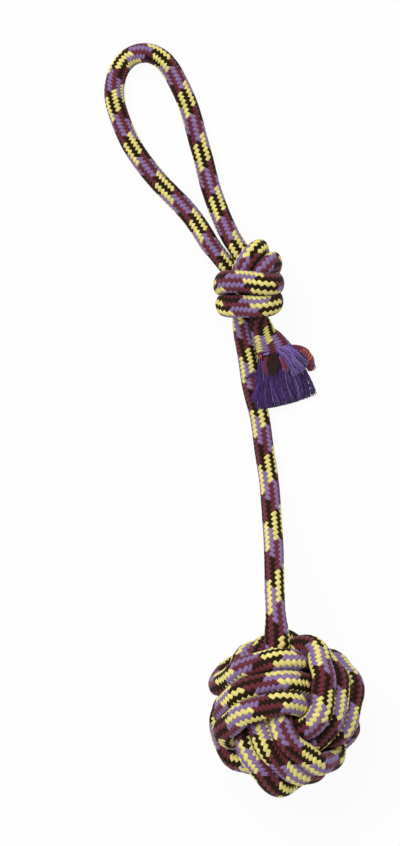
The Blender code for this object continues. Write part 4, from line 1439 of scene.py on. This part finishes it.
def floor_look():
    """A pale floor that keeps its shadows and is nearly white where it is seen."""
    look, tree, shader = new_look("pale_floor")
    tones = toned(tree, grain(tree, FLOOR_GRAIN, 2), *FLOOR_TONES)
    wire(tree, shader, {"Roughness": 0.9}, {"Base Color": tones})
    white = added(tree, "ShaderNodeEmission").outputs["Emission"]
    share = added(
        tree, "ShaderNodeMath", {1: WHITE_SHARE}, {0: seen_directly(tree)}, operation="MULTIPLY"
    ).outputs["Value"]
    mix = added(
        tree, "ShaderNodeMixShader", feeds={"Fac": share, 1: shader.outputs["BSDF"], 2: white}
    )
    wire(tree, tree.nodes["Material Output"], feeds={"Surface": mix.outputs["Shader"]})
    return look


def studio_world(strength):
    """Even light from all round, which looks plain white."""
    world = bpy.data.worlds.new("studio")
    world.use_nodes = True
    tree = world.node_tree
    sky, plain = tree.nodes["Background"], added(tree, "ShaderNodeBackground")
    for background, light in ((sky, strength), (plain, 1)):
        wire(tree, background, {"Color": (1, 1, 1, 1), "Strength": light})
    lights = [background.outputs["Background"] for background in (sky, plain)]
    feeds = {"Fac": seen_directly(tree), 1: lights[0], 2: lights[1]}
    mix = added(tree, "ShaderNodeMixShader", feeds=feeds)
    wire(tree, tree.nodes["World Output"], feeds={"Surface": mix.outputs["Shader"]})
    return world


class RopeToyStageSet(bpy.types.Operator):
    """Sets the pale floor, the soft light and the camera"""

    bl_idname = "rope_toy.stage"
    bl_label = "Stage"

    def execute(self, context):
        stage = context.scene.rope_toy_stage
        bpy.ops.object.select_all(action="DESELECT")
        bpy.ops.mesh.primitive_plane_add(size=FLOOR_SIZE, location=(0, 0, 0))
        floor = context.object
        floor.name = "floor"
        floor.data.materials.append(floor_look())
        context.scene.world = studio_world(stage.sky)

        bpy.ops.object.light_add(type="SUN", rotation=SUN_TURN)
        sun = context.object
        sun.data.energy = stage.sun
        sun.data.angle = SUN_SPREAD

        bpy.ops.object.camera_add(location=(*CAMERA_OVER, stage.camera_height))
        camera = context.object
        camera.data.sensor_fit = "VERTICAL"
        camera.data.sensor_height = SENSOR_HEIGHT
        distance = stage.camera_height - FOCUS_HEIGHT
        camera.data.lens = SENSOR_HEIGHT * distance / stage.view_height
        camera.data.clip_end = CAMERA_SEES_TO
        context.scene.camera = camera
        context.scene.view_settings.view_transform = "Standard"
        return {"FINISHED"}


class RopeToyPanel(bpy.types.Panel):
    """Lists the toy's pieces and their sizes"""

    bl_idname = "VIEW3D_PT_rope_toy"
    bl_label = "Rope Toy"
    bl_space_type = "VIEW_3D"
    bl_region_type = "UI"
    bl_category = "Rope Toy"

    def draw(self, context):
        column = self.layout.column()
        for operator in OPERATORS:
            column.operator(operator.bl_idname)
        for name, group in GROUPS.items():
            box = self.layout.box()
            for setting in group.__annotations__:
                box.prop(getattr(context.scene, name), setting)


GROUPS = {
    "rope_toy_braid": RopeToyBraid,
    "rope_toy_ball": RopeToyBall,
    "rope_toy_tail": RopeToyTail,
    "rope_toy_stage": RopeToyStage,
}
OPERATORS = (
    RopeToyStageSet,
    RopeToyWoundBall,
    RopeToyStandingRope,
    RopeToyHandLoop,
    RopeToySecondStrand,
    RopeToyFrayedTail,
)


def register():
    for group in GROUPS.values():
        bpy.utils.register_class(group)
    for operator in OPERATORS:
        bpy.utils.register_class(operator)
    bpy.utils.register_class(RopeToyPanel)
    for name, group in GROUPS.items():
        setattr(bpy.types.Scene, name, bpy.props.PointerProperty(type=group))


def unregister():
    for name in GROUPS:
        delattr(bpy.types.Scene, name)
    bpy.utils.unregister_class(RopeToyPanel)
    for operator in reversed(OPERATORS):
        bpy.utils.unregister_class(operator)
    for group in reversed(GROUPS.values()):
        bpy.utils.unregister_class(group)


def main():
    register()
    bpy.ops.rope_toy.stage()
    bpy.ops.rope_toy.wound_ball()
    bpy.ops.rope_toy.standing_rope()
    bpy.ops.rope_toy.hand_loop()
    bpy.ops.rope_toy.second_strand()
    bpy.ops.rope_toy.frayed_tail()
    bpy.context.view_layer.update()


if __name__ == "__main__":
    main()
